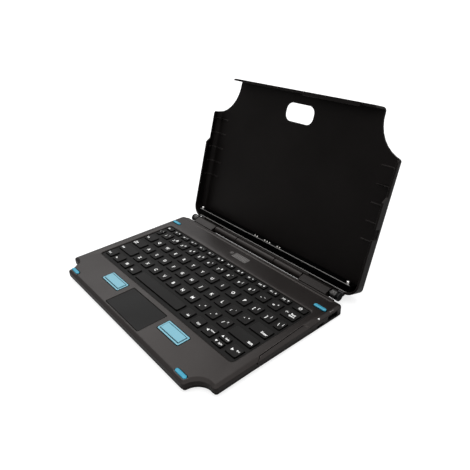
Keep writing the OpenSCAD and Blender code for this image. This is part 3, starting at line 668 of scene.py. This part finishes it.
def edge_level(x):
    """Height of the deck's sloping edge at a distance x from the middle."""
    share = (x - (HALF_W - CHAMFER_W)) / CHAMFER_W
    return DECK_Z - max(0, share) * CHAMFER_H


def relief(side):
    """The shallow relief in the middle of a side edge: a fine step, then a long slope."""

    def build(bm):
        stations = []
        for (xa, ya), (xb, yb) in zip(RELIEF_LINE, RELIEF_LINE[1:]):
            count = max(2, int((yb - ya) / 3))
            stations += [(xa + (xb - xa) * i / count, ya + (yb - ya) * i / count) for i in range(count)]
        stations.append(RELIEF_LINE[-1])
        rings = []
        for x, y in stations:
            floor_z = edge_level(x) - RELIEF_STEP
            base_z = floor_z - GROOVE_DEPTH
            groove = [(x, base_z), (x + GROOVE_W, base_z), (x + GROOVE_W, floor_z)]
            ring = groove + [(RELIEF_REACH, DECK_Z - CHAMFER_H - 0.9)]
            ring += [(RELIEF_REACH, DECK_Z + 3), (x, DECK_Z + 3)]
            rings.append([bm.verts.new(Vector((side * px, y, pz)) * MM) for px, pz in ring])
        strip(bm, rings)
        bmesh.ops.triangulate(bm, faces=bm.faces)
        bmesh.ops.recalc_face_normals(bm, faces=bm.faces)

    return build


def relief_lines():
    """Black strip in the groove along each relief: painted shade for the groove's dark line."""
    for side, name in ((-1, "left"), (1, "right")):
        bm = bmesh.new()
        rings = []
        for x, y in RELIEF_LINE:
            top = edge_level(x) - RELIEF_STEP - 0.1
            base_z = top - GROOVE_DEPTH
            # Known fault: only the outer corners stop at the base's side. The line's two ends lie
            # past that side, so the black strip turns over there and sticks out by up to 0.8 mm.
            outer = min(x + GROOVE_W, HALF_W - 0.05)
            ring = [(x, base_z), (outer, base_z), (outer, top - 0.1), (x, top)]
            rings.append([bm.verts.new(Vector((side * px, y, pz)) * MM) for px, pz in ring])
        strip(bm, rings)
        bmesh.ops.recalc_face_normals(bm, faces=bm.faces)
        make("relief_shade_strip_" + name, bm, groove_shade_black, "base", weighted=False)


def port_cuts():
    """Low and high corners of the slots round the two sockets, in Y and Z."""
    for low, high in ((usb_a_low, usb_a_high), (usb_c_low, usb_c_high)):
        yield low.y - 0.25, high.y + 0.25, low.z - 0.25, high.z + 0.25


def port(y0, y1, z0, z1):
    def build(bm):
        reach = (HALF_W + 2, HALF_W - 16)
        r = min(0.7, (z1 - z0) / 2 - 0.05)
        outline = rect((y0, z0), (y1, z1), r)
        plate(bm, outline, [(0, reach[0]), (0, reach[1])], place=along_x)

    return build


RIDGE_Y = (BACK_Y - 5.9, BACK_Y - 0.6)
RIDGE_HALF = 121


def ridge(bm):
    """Low ridge along the rear edge of the deck: a flat inside a rounded bead, then a slope."""
    outline = rect((-RIDGE_HALF, RIDGE_Y[0]), (RIDGE_HALF, RIDGE_Y[1]), 2.6, 8)
    top = deck_high.z
    steps = [
        (2.0, top - 0.25), (1.8, top - 0.22), (1.6, top - 0.03), (1.4, top), (1.2, top - 0.03),
        (0.2, top - 0.48), (0.05, top - 0.56), (0, top - 0.75), (0, ROOF_Z + 0.4),
    ]
    plate(bm, outline, steps)


def lower_edge(drop):
    """Height of the lower outer edge, which comes down from front to back, less drop."""

    def level(_, y):
        share = min(1, max(0, (y + 60) / 105))
        return max(UNDERSIDE + 2.9 - 2.5 * share - drop, UNDERSIDE + 0.04)

    return level


def bottom():
    bm = bmesh.new()
    floor_z = UNDERSIDE + 1.4
    profile = [
        (WALL, floor_z), (WALL, SEAM_Z), (0.12, SEAM_Z), (0, SEAM_Z - 0.12), (0, lower_edge(0)),
        (0.25, lower_edge(0.25)), (1.3, lower_edge(0.5)), (1.7, UNDERSIDE + 0.03), (2.1, UNDERSIDE),
    ]
    holes = []
    for low, high in screw_boxes:
        c = ((low.x + high.x) / 2, (low.y + high.y) / 2)
        seat = UNDERSIDE + 1.2
        steps = [(0, floor_z), (0, seat), (-1.35, seat), (-1.35, UNDERSIDE + 0.15), (-1.5, UNDERSIDE)]
        holes.append((disc(c, 1.3, 32), steps))
    plate(bm, base_outline, profile, holes)
    obj = make("bottom_panel", bm, housing_plastic, None)
    combine(obj, [tool(port(*b)) for b in port_cuts()], "DIFFERENCE")
    combine(obj, [tool(housing_floor(s)) for s in (-1, 1)], "UNION")
    dress(obj, housing_plastic, 28)
    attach(obj, "base")
    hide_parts("bottom_cover")


HOUSING_R = 4.6
cap_low, cap_high = node_box("hinge_cap_right")


def housing_floor(side):
    """Lower half of a hinge housing, from the back wall to its round rear."""

    def build(bm):
        outline = [(BACK_Y - 1, HINGE_Z), (BACK_Y - 1, HINGE_Z - HOUSING_R)]
        outline += arc((HINGE_Y, HINGE_Z), HOUSING_R, -90, 0, 10)
        x0, x1 = (cap_low.x, cap_high.x) if side > 0 else (-cap_high.x, -cap_low.x)
        plate(bm, shrunk(outline), [(0.4, x1), (0, x1 - 0.4), (0, x0 + 0.4), (0.4, x0)], place=along_x)

    return build


def hinge_cap(name, node):
    """Upper half of a hinge housing: a nearly flat lid that rolls over the hinge line."""
    low, high = node_box(node)
    front_top, rear_top = DECK_Z + 0.3, HINGE_Z + HOUSING_R
    outline = [(low.y, HINGE_Z), (high.y, HINGE_Z)]
    outline += arc((HINGE_Y, HINGE_Z), HOUSING_R, 12, 78, 8)
    outline += [(HINGE_Y - 0.2, rear_top), (HINGE_Y - 0.7, rear_top - 0.08)]
    outline += [(low.y + 0.6, front_top + 0.1), (low.y + 0.15, front_top - 0.1), (low.y, front_top - 0.5)]
    bm = bmesh.new()
    steps = [(0.5, high.x), (0.15, high.x - 0.15), (0, high.x - 0.5)]
    steps += [(0, low.x + 0.5), (0.15, low.x + 0.15), (0.5, low.x)]
    plate(bm, shrunk(outline), steps, place=along_x)
    make(name, bm, housing_plastic, "base", [node], 18)


def pill(name, box):
    """Bumper pad: a long rounded pad with a raised middle stripe."""
    low, high = box
    outline = rect(low, high, (high.y - low.y) / 2 - 0.01, 8)
    top = high.z
    bm = bmesh.new()
    steps = [
        (1.75, top), (1.5, top - 0.05), (1.35, top - 0.22), (1.1, top - 0.25), (0.7, top - 0.3),
        (0.45, top - 0.5), (0.3, top - 0.85), (0.3, low.z),
    ]
    plate(bm, outline, steps)
    return make(name, bm, blue_rubber, "base", ["bumper_pads"], 50)


def mouse_button(name, node):
    """A button: raised middle, groove round it, lower rim, and a flange under the deck."""
    low, high = node_box(node)
    flange = BUTTON_FLANGE
    outline = rect(*grown(low, high, -flange), 1.3)
    tier, top = DECK_Z + 0.35, high.z
    bm = bmesh.new()
    steps = [
        (2.75, top), (2.5, top - 0.04), (2.35, top - 0.16), (2.3, tier - 0.6), (1.55, tier - 0.6),
        (1.5, tier - 0.05), (1.4, tier), (0.4, tier), (0.1, tier - 0.12), (0, tier - 0.45),
        (0, ROOF_Z - 0.3), (-flange, ROOF_Z - 0.3), (-flange, low.z),
    ]
    plate(bm, outline, steps)
    make(name, bm, pale_blue, node, [node], 40)


def trackpad():
    low, high = node_box("trackpad_plate")
    bm = bmesh.new()
    plate(bm, rect(low, high, 0.8), softened(low.z, high.z, 0.15))
    make("trackpad_surface", bm, trackpad_film, "base", ["trackpad_plate"])


# -------- keys

CAP_R = 2
CAP_TAPER = 0.35
DISH = 0.15
DISH_LEVELS = (0.82, 0.6, 0.36, 0.12)


def key_top(box, x, y):
    """Height of a key's dished top at a point."""
    low, high = box
    u = abs(x - (low.x + high.x) / 2) / ((high.x - low.x) / 2 - CAP_TAPER)
    v = abs(y - (low.y + high.y) / 2) / ((high.y - low.y) / 2 - CAP_TAPER)
    return high.z - 0.03 - DISH * (1 - min(1, max(u, v)) ** 2)


def key_cap(bm, box):
    """A key cap: skirt, rounded shoulder and a shallow dish on top."""
    low, high = box
    outline = rect(low, high, CAP_R, 4)
    top = high.z
    steps = [
        (CAP_TAPER + 0.3, top - 0.02), (CAP_TAPER + 0.1, top), (CAP_TAPER - 0.1, top - 0.07),
        (CAP_TAPER - 0.25, top - 0.3), (0.02, top - 1.1), (0, low.z + 0.1), (0.1, low.z),
    ]
    rim = outline(CAP_TAPER + 0.3)
    cx, cy = (low.x + high.x) / 2, (low.y + high.y) / 2
    rings = []
    for t in DISH_LEVELS:
        ring = [(cx + (x - cx) * t, cy + (y - cy) * t) for x, y in rim]
        rings.append([(x, y, key_top(box, x, y)) for x, y in ring])
    plate(bm, outline, steps, centre_rings=rings)


def legend(bm, box, text, size, at=(0, 0), anchor="CENTER"):
    """Adds a printed legend to bm, laid on the key's top. at is the offset from the middle."""
    low, high = box
    curve = bpy.data.curves.new("legend", "FONT")
    curve.body = text
    curve.size = size * MM
    curve.resolution_u = 3
    curve.align_x = anchor
    curve.align_y = "CENTER"
    curve.space_line = 0.85
    curve.offset = size * 0.028 * MM
    curve.extrude = 0.02 * MM
    obj = bpy.data.objects.new("legend", curve)
    bpy.context.scene.collection.objects.link(obj)
    bpy.context.view_layer.update()
    depsgraph = bpy.context.evaluated_depsgraph_get()
    mesh = bpy.data.meshes.new_from_object(obj.evaluated_get(depsgraph), depsgraph=depsgraph)
    bpy.data.objects.remove(obj)
    x0 = (low.x + high.x) / 2 + at[0]
    y0 = (low.y + high.y) / 2 + at[1]
    for v in mesh.vertices:
        x, y = v.co.x / MM + x0, v.co.y / MM + y0
        v.co = Vector((x, y, key_top(box, x, y) + 0.01 + v.co.z / MM)) * MM
    bm.from_mesh(mesh)
    bpy.data.meshes.remove(mesh)


def keys(node, legends):
    """All keys of one node as a piece, and their printed legends as another."""
    boxes = solid_boxes(node)
    caps, print_bm = bmesh.new(), bmesh.new()
    for box in boxes:
        key_cap(caps, box)
    make("caps_" + node, caps, key_rubber, node, [node], 55)
    for box, marks in zip(boxes, legends):
        for mark in marks:
            legend(print_bm, box, *mark)
    if len(print_bm.verts):
        bmesh.ops.remove_doubles(print_bm, verts=print_bm.verts, dist=0.001 * MM)
        make("legends_" + node, print_bm, legend_print, node, angle=40, weighted=False)


LETTER = 4.9
WORD = 2.9
SMALL = 2.2


def pair(lower, upper):
    """A number or punctuation key: its mark at lower left and its shifted mark at upper right."""
    return [(lower, 4.4, (-1.8, -1.2)), (upper, 3.2, (2.1, 1.4))]


def width(node):
    low, high = node_box(node)
    return high.x - low.x


def corner(word, node, size=WORD):
    """A word in the left lower corner of a wide key."""
    return [(word, size, (-width(node) / 2 + 1.3, -1.9), "LEFT")]


def far_corner(word, node, size=WORD):
    """A word in the right lower corner of a wide key."""
    return [(word, size, (width(node) / 2 - 1.3, -1.9), "RIGHT")]


def letters(row):
    return [[(c, LETTER)] for c in row]


def keyboard():
    icons = "◄☼☼♪♪■►▤◊●▲▼"
    row = [[(f"F{i + 1}", SMALL + 0.4, (-2.3, -0.3)), (icons[i], SMALL, (2.9, 0.3))] for i in range(12)]
    keys("function_keys", row)
    keys("number_keys", [pair(a, b) for a, b in zip("`1234567890-=", "~!@#$%^&*()_+")])
    keys("upper_letter_keys", letters("QWERTYUIOP") + [pair("[", "{"), pair("]", "}")])
    keys("home_letter_keys", letters("ASDFGHJKL") + [pair(";", ":"), pair("'", "\"")])
    keys("lower_letter_keys", letters("ZXCVBNM") + [pair(",", "<"), pair(".", ">"), pair("/", "?")])
    single = {
        "key_escape": [("Esc", WORD, (-4.3, -0.6), "LEFT")],
        "key_power": [("⏻", 4.2)],
        "key_backspace": [("←", 4.0, (-4.5, 0.6)), ("Back\nspace", WORD, (2.6, 0))],
        "key_tab": corner("Tab", "key_tab"),
        "key_backslash": [("\\", LETTER, (-1.6, -1.0)), ("|", 3.3, (2.0, 1.6))],
        "key_caps_lock": corner("Caps\nLock", "key_caps_lock"),
        "key_enter": far_corner("Enter", "key_enter", 3.3),
        "key_shift_left": corner("Shift", "key_shift_left"),
        "key_shift_right": far_corner("Shift", "key_shift_right", 3.3),
        "key_ctrl_left": corner("Ctrl", "key_ctrl_left"),
        "key_fn": corner("Fn", "key_fn"),
        "key_menu": [("☰", 4.6)],
        "key_alt_left": corner("Alt", "key_alt_left"),
        "key_space": [],
        "key_alt_right": far_corner("Alt", "key_alt_right"),
        "key_ctrl_right": far_corner("Ctrl", "key_ctrl_right"),
        "key_left": [("◄", 3.0, (-2.6, -0.6)), ("Home", SMALL, (2.6, 1.2))],
        "key_up": [("▲", 2.7, (-3.4, 0)), ("PgUp", SMALL, (2.6, 0))],
        "key_down": [("▼", 2.7, (-3.4, 0)), ("PgDn", SMALL, (2.6, 0))],
        "key_right": [("►", 3.0, (-2.6, -0.6)), ("End", SMALL, (2.8, 1.2))],
    }
    for node, marks in single.items():
        keys(node, [marks])


# -------- small parts of the base


def badge():
    """A blank badge: a plate with a raised border and two rows of plain bars, and beside it a
    ring round a spot."""
    low, high = node_box("badge_plate")
    bm = bmesh.new()
    plate(bm, rect(low, high, 0.7), softened(DECK_Z - 0.1, high.z - 0.12, 0.12))
    make("badge", bm, badge_dark, "base", ["badge_plate"])
    bm = bmesh.new()
    level = (high.z - 0.2, high.z)
    border = rect(*grown(low, high, -0.5), 0.6)
    hole = (border, [(0.45, level[1]), (0.45, level[0])])
    plate(bm, border, [(0, level[1]), (0, level[0])], [hole])
    rows, columns = 2, 9
    pitch = (high.x - low.x - 3.4) / columns
    for r in range(rows):
        y = low.y + 2.1 + r * 2.5
        for i in range(columns):
            x = low.x + 1.9 + i * pitch
            bar = rect((x, y), (x + pitch * 0.62, y + 1.7), 0.2, 2)
            plate(bm, bar, [(0, level[1]), (0, level[0])])
    make("badge_pattern", bm, badge_print, "base")
    bm = bmesh.new()
    c = (low.x - 4.6, (low.y + high.y) / 2 + 0.6)
    ring = disc(c, 2.1, 48)
    top, foot = DECK_Z + 0.08, DECK_Z - 0.1
    plate(bm, ring, [(0, top), (0, foot)], [(ring, [(0.5, top), (0.5, foot)])])
    plate(bm, disc(c, 0.8, 24), [(0, top), (0, foot)])
    make("badge_ring", bm, badge_print, "base")


def socket_mark():
    """A plain mark beside the larger socket: a bar with a dot at each end."""
    bm = bmesh.new()
    y = (usb_a_low.y + usb_a_high.y) / 2
    x = HALF_W - 1.9
    z = edge_level(x) - 0.04
    tilt = math.degrees(math.atan2(CHAMFER_H, CHAMFER_W))
    normal = Vector((math.sin(math.radians(tilt)), 0, math.cos(math.radians(tilt))))
    for dy, r in ((-2.0, 0.55), (2.0, 0.4)):
        lathe(bm, [(-0.15, r), (0.1, r), (0.12, r * 0.7)], (x, y + dy, z), normal, 16)
    for dy in range(-3, 4):
        lathe(bm, [(-0.15, 0.22), (0.09, 0.22)], (x, y + dy * 0.5, z), normal, 8)
    make("socket_mark", bm, badge_print, "base")


def status_light():
    x, y = (light_low.x + light_high.x) / 2, (light_low.y + light_high.y) / 2
    z = edge_level(x)
    r = (light_high.x - light_low.x) / 2
    dome = [(0.45 * math.sin(a), r * math.cos(a)) for a in quarter(12, 0, 8)]
    bm = bmesh.new()
    lathe(bm, [(light_low.z - z, r)] + [(d + 0.1, k) for d, k in dome], (x, y, z), (0, 0, 1), 24)
    make("status_lens", bm, light_pipe, "base", ["status_light"], 50)


def socket(name, node, corner_r, tongue, contacts):
    """A steel socket shell with a rolled lip, its insulating tongue and its contacts."""
    low, high = node_box(node)
    outline = rect((low.y, low.z), (high.y, high.z), corner_r, 6)
    mouth, back = high.x, low.x
    bm = bmesh.new()
    plate(bm, outline, [(0.08, mouth), (0, mouth - 0.15), (0, back)], place=along_x,
          centre_rings=[[(*p, mouth) for p in outline(0.2)], [(*p, mouth - 0.2) for p in outline(0.3)],
                        [(*p, back + 1) for p in outline(0.3)]])
    make(name, bm, dark_steel, "base", [node], 35)
    z0, z1, half = tongue
    bm = bmesh.new()
    middle = (low.y + high.y) / 2
    plate(bm, rect((middle - half, z0), (middle + half, z1), 0.15, 2),
          [(0.15, mouth - 1.2), (0, mouth - 1.4), (0, back + 0.9)], place=along_x)
    make(name + "_tongue", bm, insulator, "base")
    bm = bmesh.new()
    for i in range(contacts):
        y = middle + (i - (contacts - 1) / 2) * 2 * half / (contacts + 0.4)
        w = 0.5 * half / contacts
        plate(bm, rect((y - w, z0 - 0.08), (y + w, z0 + 0.1), 0.03, 1),
              [(0, mouth - 1.6), (0, back + 1)], place=along_x)
    make(name + "_contacts", bm, gold, "base")


def feet():
    """Rubber feet with a soft edge and shallow grip grooves."""
    bm = bmesh.new()
    for low, high in solid_boxes("rubber_feet"):
        c = 1.0
        steps = [(0.5, low.z), (0.15, low.z + 0.1), (0, low.z + 0.35), (0, high.z + 0.1)]
        plate(bm, rect(low, high, c), steps)
        count = int((high.x - low.x - 3) / 2)
        for i in range(count):
            x = (low.x + high.x) / 2 + (i - (count - 1) / 2) * 2
            plate(bm, rect((x - 0.5, low.y + 1.2), (x + 0.5, high.y - 1.2), 0.45, 3),
                  [(0.2, low.z + 0.001), (0, low.z + 0.15), (0, low.z + 0.4)])
    make("feet", bm, black_rubber, "base", ["rubber_feet"], 40)


def screw_head(bm, at, axis, r, height, length, shank):
    """A countersunk-edge screw with a cross recess, its head at the near end of the axis."""
    profile = [(height * 0.35, r * 0.22), (0.02, r * 0.42), (0, r * 0.5), (0, r * 0.86), (height * 0.2, r)]
    profile += [(height, r), (height, shank)]
    turns = int(length / 0.5)
    for i in range(turns):
        profile += [(height + (i + 0.25) * 0.5, shank), (height + (i + 0.75) * 0.5, shank * 0.84)]
    lathe(bm, profile + [(height + length, shank * 0.7)], at, axis, 24)


def screws(name, node, body, axis):
    bm = bmesh.new()
    axis = Vector(axis)
    for low, high in solid_boxes(node):
        c = (low + high) / 2
        half = abs((high - low).dot(Vector(map(abs, axis)))) / 2
        across = sorted(high - low)
        down = high.z < 8 and node == "case_screws" and low.z > 2
        way = -axis if down else axis
        if node == "dock_screws":
            screw_head(bm, c - way * 3.9, way, 2.05, 1.0, 6.7, 1.0)
        else:
            screw_head(bm, c - way * half, way, (across[1] / 2) * 0.99, 1.0, 2 * half - 1.1, 1.0)
    make(name, bm, steel, body, [node], 40)


# -------- tablet cover

LEAN = math.radians(17.2)
FLOOR_DEPTH = 20
UP = Vector((0, math.sin(LEAN), math.cos(LEAN)))
OUT = Vector((0, -math.cos(LEAN), math.sin(LEAN)))


def on_cover(x, y, z):
    """A point given across, up and out from the cover's floor, in the row frame."""
    return Vector((x, HINGE_Y, HINGE_Z)) + UP * y + OUT * (z - FLOOR_DEPTH)


PIN_LINE = 9.6
# Guide pins: distance from the middle, radius, and length below the dome
GUIDE_X = 117
GUIDE_R = 1.9
GUIDE_STRAIGHT = 1.9
# Radius of a contact pin's tip
TIP_R = 0.68
BAR_FRONT = 11.4
BAR_FOOT = 2.7
BAR_TOP = 11.6


def pins():
    """The two guide pins and the contact pins, on the top of the contact bar."""
    bm = bmesh.new()
    for side in (-1, 1):
        profile = [(-3, 1.15), (0, 1.15), (0.02, GUIDE_R), (GUIDE_STRAIGHT, GUIDE_R)]
        for a in quarter(15, 1, 7):
            along = GUIDE_STRAIGHT + 1.5 * math.sin(a)
            profile.append((along, GUIDE_R * (0.25 + 0.75 * math.cos(a))))
        lathe(bm, profile, on_cover(side * GUIDE_X, BAR_TOP, PIN_LINE), UP, 32)
    make("guide_pin_tips", bm, bright_steel, "cover", ["guide_pins"], 40)
    bm = bmesh.new()
    for low, high in solid_boxes("pogo_pins"):
        x = (low.x + high.x) / 2
        profile = [(-2.8, 0.55), (0.1, 0.55), (0.12, TIP_R), (0.7, TIP_R)]
        profile += [(0.75 + 0.6 * math.sin(a), TIP_R * math.cos(a)) for a in quarter(18, 0, 5)]
        lathe(bm, profile, on_cover(x, BAR_TOP, PIN_LINE), UP, 16)
    make("contact_pins", bm, contact_tip, "cover", ["pogo_pins"], 40)


def knuckles():
    """Steel knuckles at the ends of the hinge, each with two grub screws and a black end cap."""
    x1 = node_box("hinge_knuckles")[1].x
    x0 = x1 - 9.5
    joint_at = 6.2
    for side, name in ((-1, "left"), (1, "right")):
        bm = bmesh.new()
        profile = [(0, 3.2), (0.15, 4.35), (0.35, 4.55), (2.6, 4.55), (2.7, 4.45), (3.0, 4.45)]
        profile += [(3.1, 4.55), (joint_at - 0.2, 4.55), (joint_at, 4.45), (joint_at, 3.0)]
        lathe(bm, profile, (side * x0, HINGE_Y, HINGE_Z), (side, 0, 0), 40)
        make("hinge_knuckle_" + name, bm, knuckle_steel, "cover", angle=30)
        bm = bmesh.new()
        profile = [(joint_at, 3.0), (joint_at + 0.1, 4.6), (x1 - x0 - 0.8, 4.6)]
        turns = quarter(18, 1, 6)
        profile += [(x1 - x0 - 0.8 + 0.9 * math.sin(a), 3.7 + 0.9 * math.cos(a)) for a in turns]
        lathe(bm, profile, (side * x0, HINGE_Y, HINGE_Z), (side, 0, 0), 40)
        make("knuckle_cap_" + name, bm, insulator, "cover", angle=30)
        bm = bmesh.new()
        for along in (1.5, 4.6):
            for way in (Vector((0, -0.5, 0.87)), Vector((0, -0.98, 0.17))):
                seat = Vector((side * (x0 + along), HINGE_Y, HINGE_Z)) + way * 4.6
                profile = [(0.5, 0.3), (0.1, 0.42), (0.0, 0.55), (0.0, 0.8), (0.25, 0.95), (1.2, 0.95)]
                lathe(bm, profile, seat + way * 0.05, -way, 16)
        make("knuckle_screws_" + name, bm, insulator, "cover", angle=30)


# Half of the length of the beads, and each one's name, place and radius
BEAD_HALF = 120.6
BEADS = (
    ("low", BAR_FOOT + 0.75, BAR_FRONT, 0.5),
    ("high", BAR_TOP - 0.3, BAR_FRONT - 0.25, 0.42),
)


def bar_highlight_beads():
    """Rounded pale beads along the lower and the upper front edge of the contact bar; their paleness is a
    painted highlight.
    """
    for name, y, z, r in BEADS:
        bm = bmesh.new()
        ends = [(0.9 * (1 - math.cos(a)), r * math.sin(a)) for a in quarter(15, 1, 7)]
        profile = ends + [(2 * BEAD_HALF - d, k) for d, k in reversed(ends)]
        lathe(bm, profile, on_cover(-BEAD_HALF, y, z), (1, 0, 0), 20)
        make("bar_highlight_bead_" + name, bm, highlight_bead_material, "cover", angle=50)


def cover():
    """The cover's body: copies of the CAD shapes, then the beads, pins, knuckles and screws."""
    bevelled_copy("shell_tray", "tablet_shell", shell_plastic, "cover", 0.35, 3)
    bevelled_copy("contact_bar", "dock_bar", bar_plastic, "cover", 0.5, 3)
    bevelled_copy("barrel", "hinge_barrel", deck_plastic, "cover", 0.15, 2, clamp=True)
    bevelled_copy("knuckle_arms", "hinge_knuckles", dark_steel, "cover", 0.3, 2)
    bevelled_copy("contact_block", "pogo_block", insulator, "cover", 0.12, 2)
    bevelled_copy("pins_of_hinge", "hinge_pins", steel, "cover", 0.3, 2)
    bar_highlight_beads()
    pins()
    knuckles()
    screws("dock_screw_set", "dock_screws", "cover", OUT)


def inner_parts():
    """CAD nodes whose own shape is kept, with their materials."""
    kept = {
        "key_frame": frame_plastic, "key_tray": steel, "dome_sheet": black_rubber,
        "keyboard_board": circuit_board, "trackpad_board": circuit_board, "button_switches": insulator,
        "socket_board": circuit_board, "hinge_bracket_left": steel, "hinge_bracket_right": steel,
        "dock_board": circuit_board,
    }
    for node, material in kept.items():
        mesh = frame["nodes"][node].data
        mesh.materials.clear()
        mesh.materials.append(material)


# -------- build

deck()
bottom()
hinge_cap("hinge_lid_left", "hinge_cap_left")
hinge_cap("hinge_lid_right", "hinge_cap_right")
for i, pad_box in enumerate(pad_boxes):
    pill(f"bumper_{i + 1}", pad_box)
mouse_button("mouse_button_left", "button_left")
mouse_button("mouse_button_right", "button_right")
trackpad()
relief_lines()
keyboard()
badge()
socket_mark()
status_light()
socket("usb_a_shell", "usb_a_socket", 0.5, (5.95, 7.75, 5.6), 4)
socket("usb_c_shell", "usb_c_socket", 1.45, (3.75, 4.45, 3.3), 8)
feet()
screws("case_screw_set", "case_screws", "base", (0, 0, 1))
cover()
inner_parts()

# -------- floor, light and camera


def floor_material():
    """Pale floor. Part of its brightness is only for the camera and does not light the object."""
    mat, tree, shader, place = start("floor", Specular_IOR_Level=0.1)
    tone = blend(tree, noise(tree, place, 3.0), (0.37, 0.37, 0.37), (0.4, 0.4, 0.4))
    tree.links.new(tone, shader.inputs["Base Color"])
    tree.links.new(spread(tree, noise(tree, place, 40.0), 0.3, 0.7, 0.75, 0.85), shader.inputs["Roughness"])
    seen = calc(tree, "MULTIPLY", put(tree, "LightPath").outputs["Is Camera Ray"], 0.74)
    pale = put(tree, "Emission", {"Color": (1, 1, 1, 1), "Strength": 1.0})
    both = put(tree, "AddShader", {0: shader.outputs[0]})
    glow = put(tree, "MixShader", {0: seen, 2: pale.outputs[0]})
    tree.links.new(glow.outputs[0], both.inputs[1])
    tree.links.new(both.outputs[0], tree.nodes["Material Output"].inputs["Surface"])
    return mat


# Half of the floor's side, in metres
FLOOR_HALF = 14


def stage():
    bm = bmesh.new()
    size = FLOOR_HALF
    corners = [(-size, -size), (size, -size), (size, size), (-size, size)]
    bm.faces.new([bm.verts.new((x, y, -0.0002)) for x, y in corners])
    floor = make("floor", bm, floor_material(), None, weighted=False)


def area_light(name, place, target, size, power):
    data = bpy.data.lights.new(name, "AREA")
    data.shape = "RECTANGLE"
    data.size, data.size_y = size
    data.energy = power
    obj = bpy.data.objects.new(name, data)
    obj.location = place
    obj.rotation_euler = (Vector(target) - Vector(place)).to_track_quat("-Z", "Y").to_euler()
    bpy.context.scene.collection.objects.link(obj)


# Brightness of the studio's ceiling by the sine of the elevation, from horizon to zenith
CEILING = [(0.0, 0.1), (0.2, 0.14), (0.45, 0.62), (0.6, 0.95), (0.82, 1.75), (1.0, 1.9)]


def lighting():
    """A dim horizon that brightens to a large soft ceiling. The camera sees plain white instead."""
    world = bpy.data.worlds.new("studio")
    world.use_nodes = True
    bpy.context.scene.world = world
    tree = world.node_tree
    sky = tree.nodes["Background"]
    way = put(tree, "TexCoord").outputs["Generated"]
    up = put(tree, "SeparateXYZ", {"Vector": way}).outputs["Z"]
    ramp = put(tree, "ValToRGB", {"Fac": up})
    stops = ramp.color_ramp.elements
    for i, (place, level) in enumerate(CEILING):
        stop = stops[i] if i < 2 else stops.new(place)
        stop.position = place
        stop.color = (level, level, level, 1)
    tree.links.new(ramp.outputs["Color"], sky.inputs["Color"])
    backdrop = put(tree, "Background", {"Color": (1, 1, 1, 1), "Strength": 1.0})
    seen = put(tree, "LightPath").outputs["Is Camera Ray"]
    both = put(tree, "MixShader", {0: seen, 1: sky.outputs[0], 2: backdrop.outputs[0]})
    tree.links.new(both.outputs[0], tree.nodes["World Output"].inputs["Surface"])
    area_light("key_light", (-1.1, 0.35, 1.1), (0, 0.02, 0.02), (0.9, 0.9), 5)
    bpy.context.scene.view_settings.view_transform = "Standard"


def camera():
    data = bpy.data.cameras.new("camera")
    data.lens = 35.82
    data.sensor_width = 36
    data.clip_start, data.clip_end = 0.01, 100
    obj = bpy.data.objects.new("camera", data)
    obj.location = (0.3386, -0.2083, 0.2807)
    obj.rotation_euler = [math.radians(a) for a in (61.116, 2.157, 49.975)]
    bpy.context.scene.collection.objects.link(obj)
    bpy.context.scene.camera = obj


stage()
lighting()
camera()

bpy.context.view_layer.update()
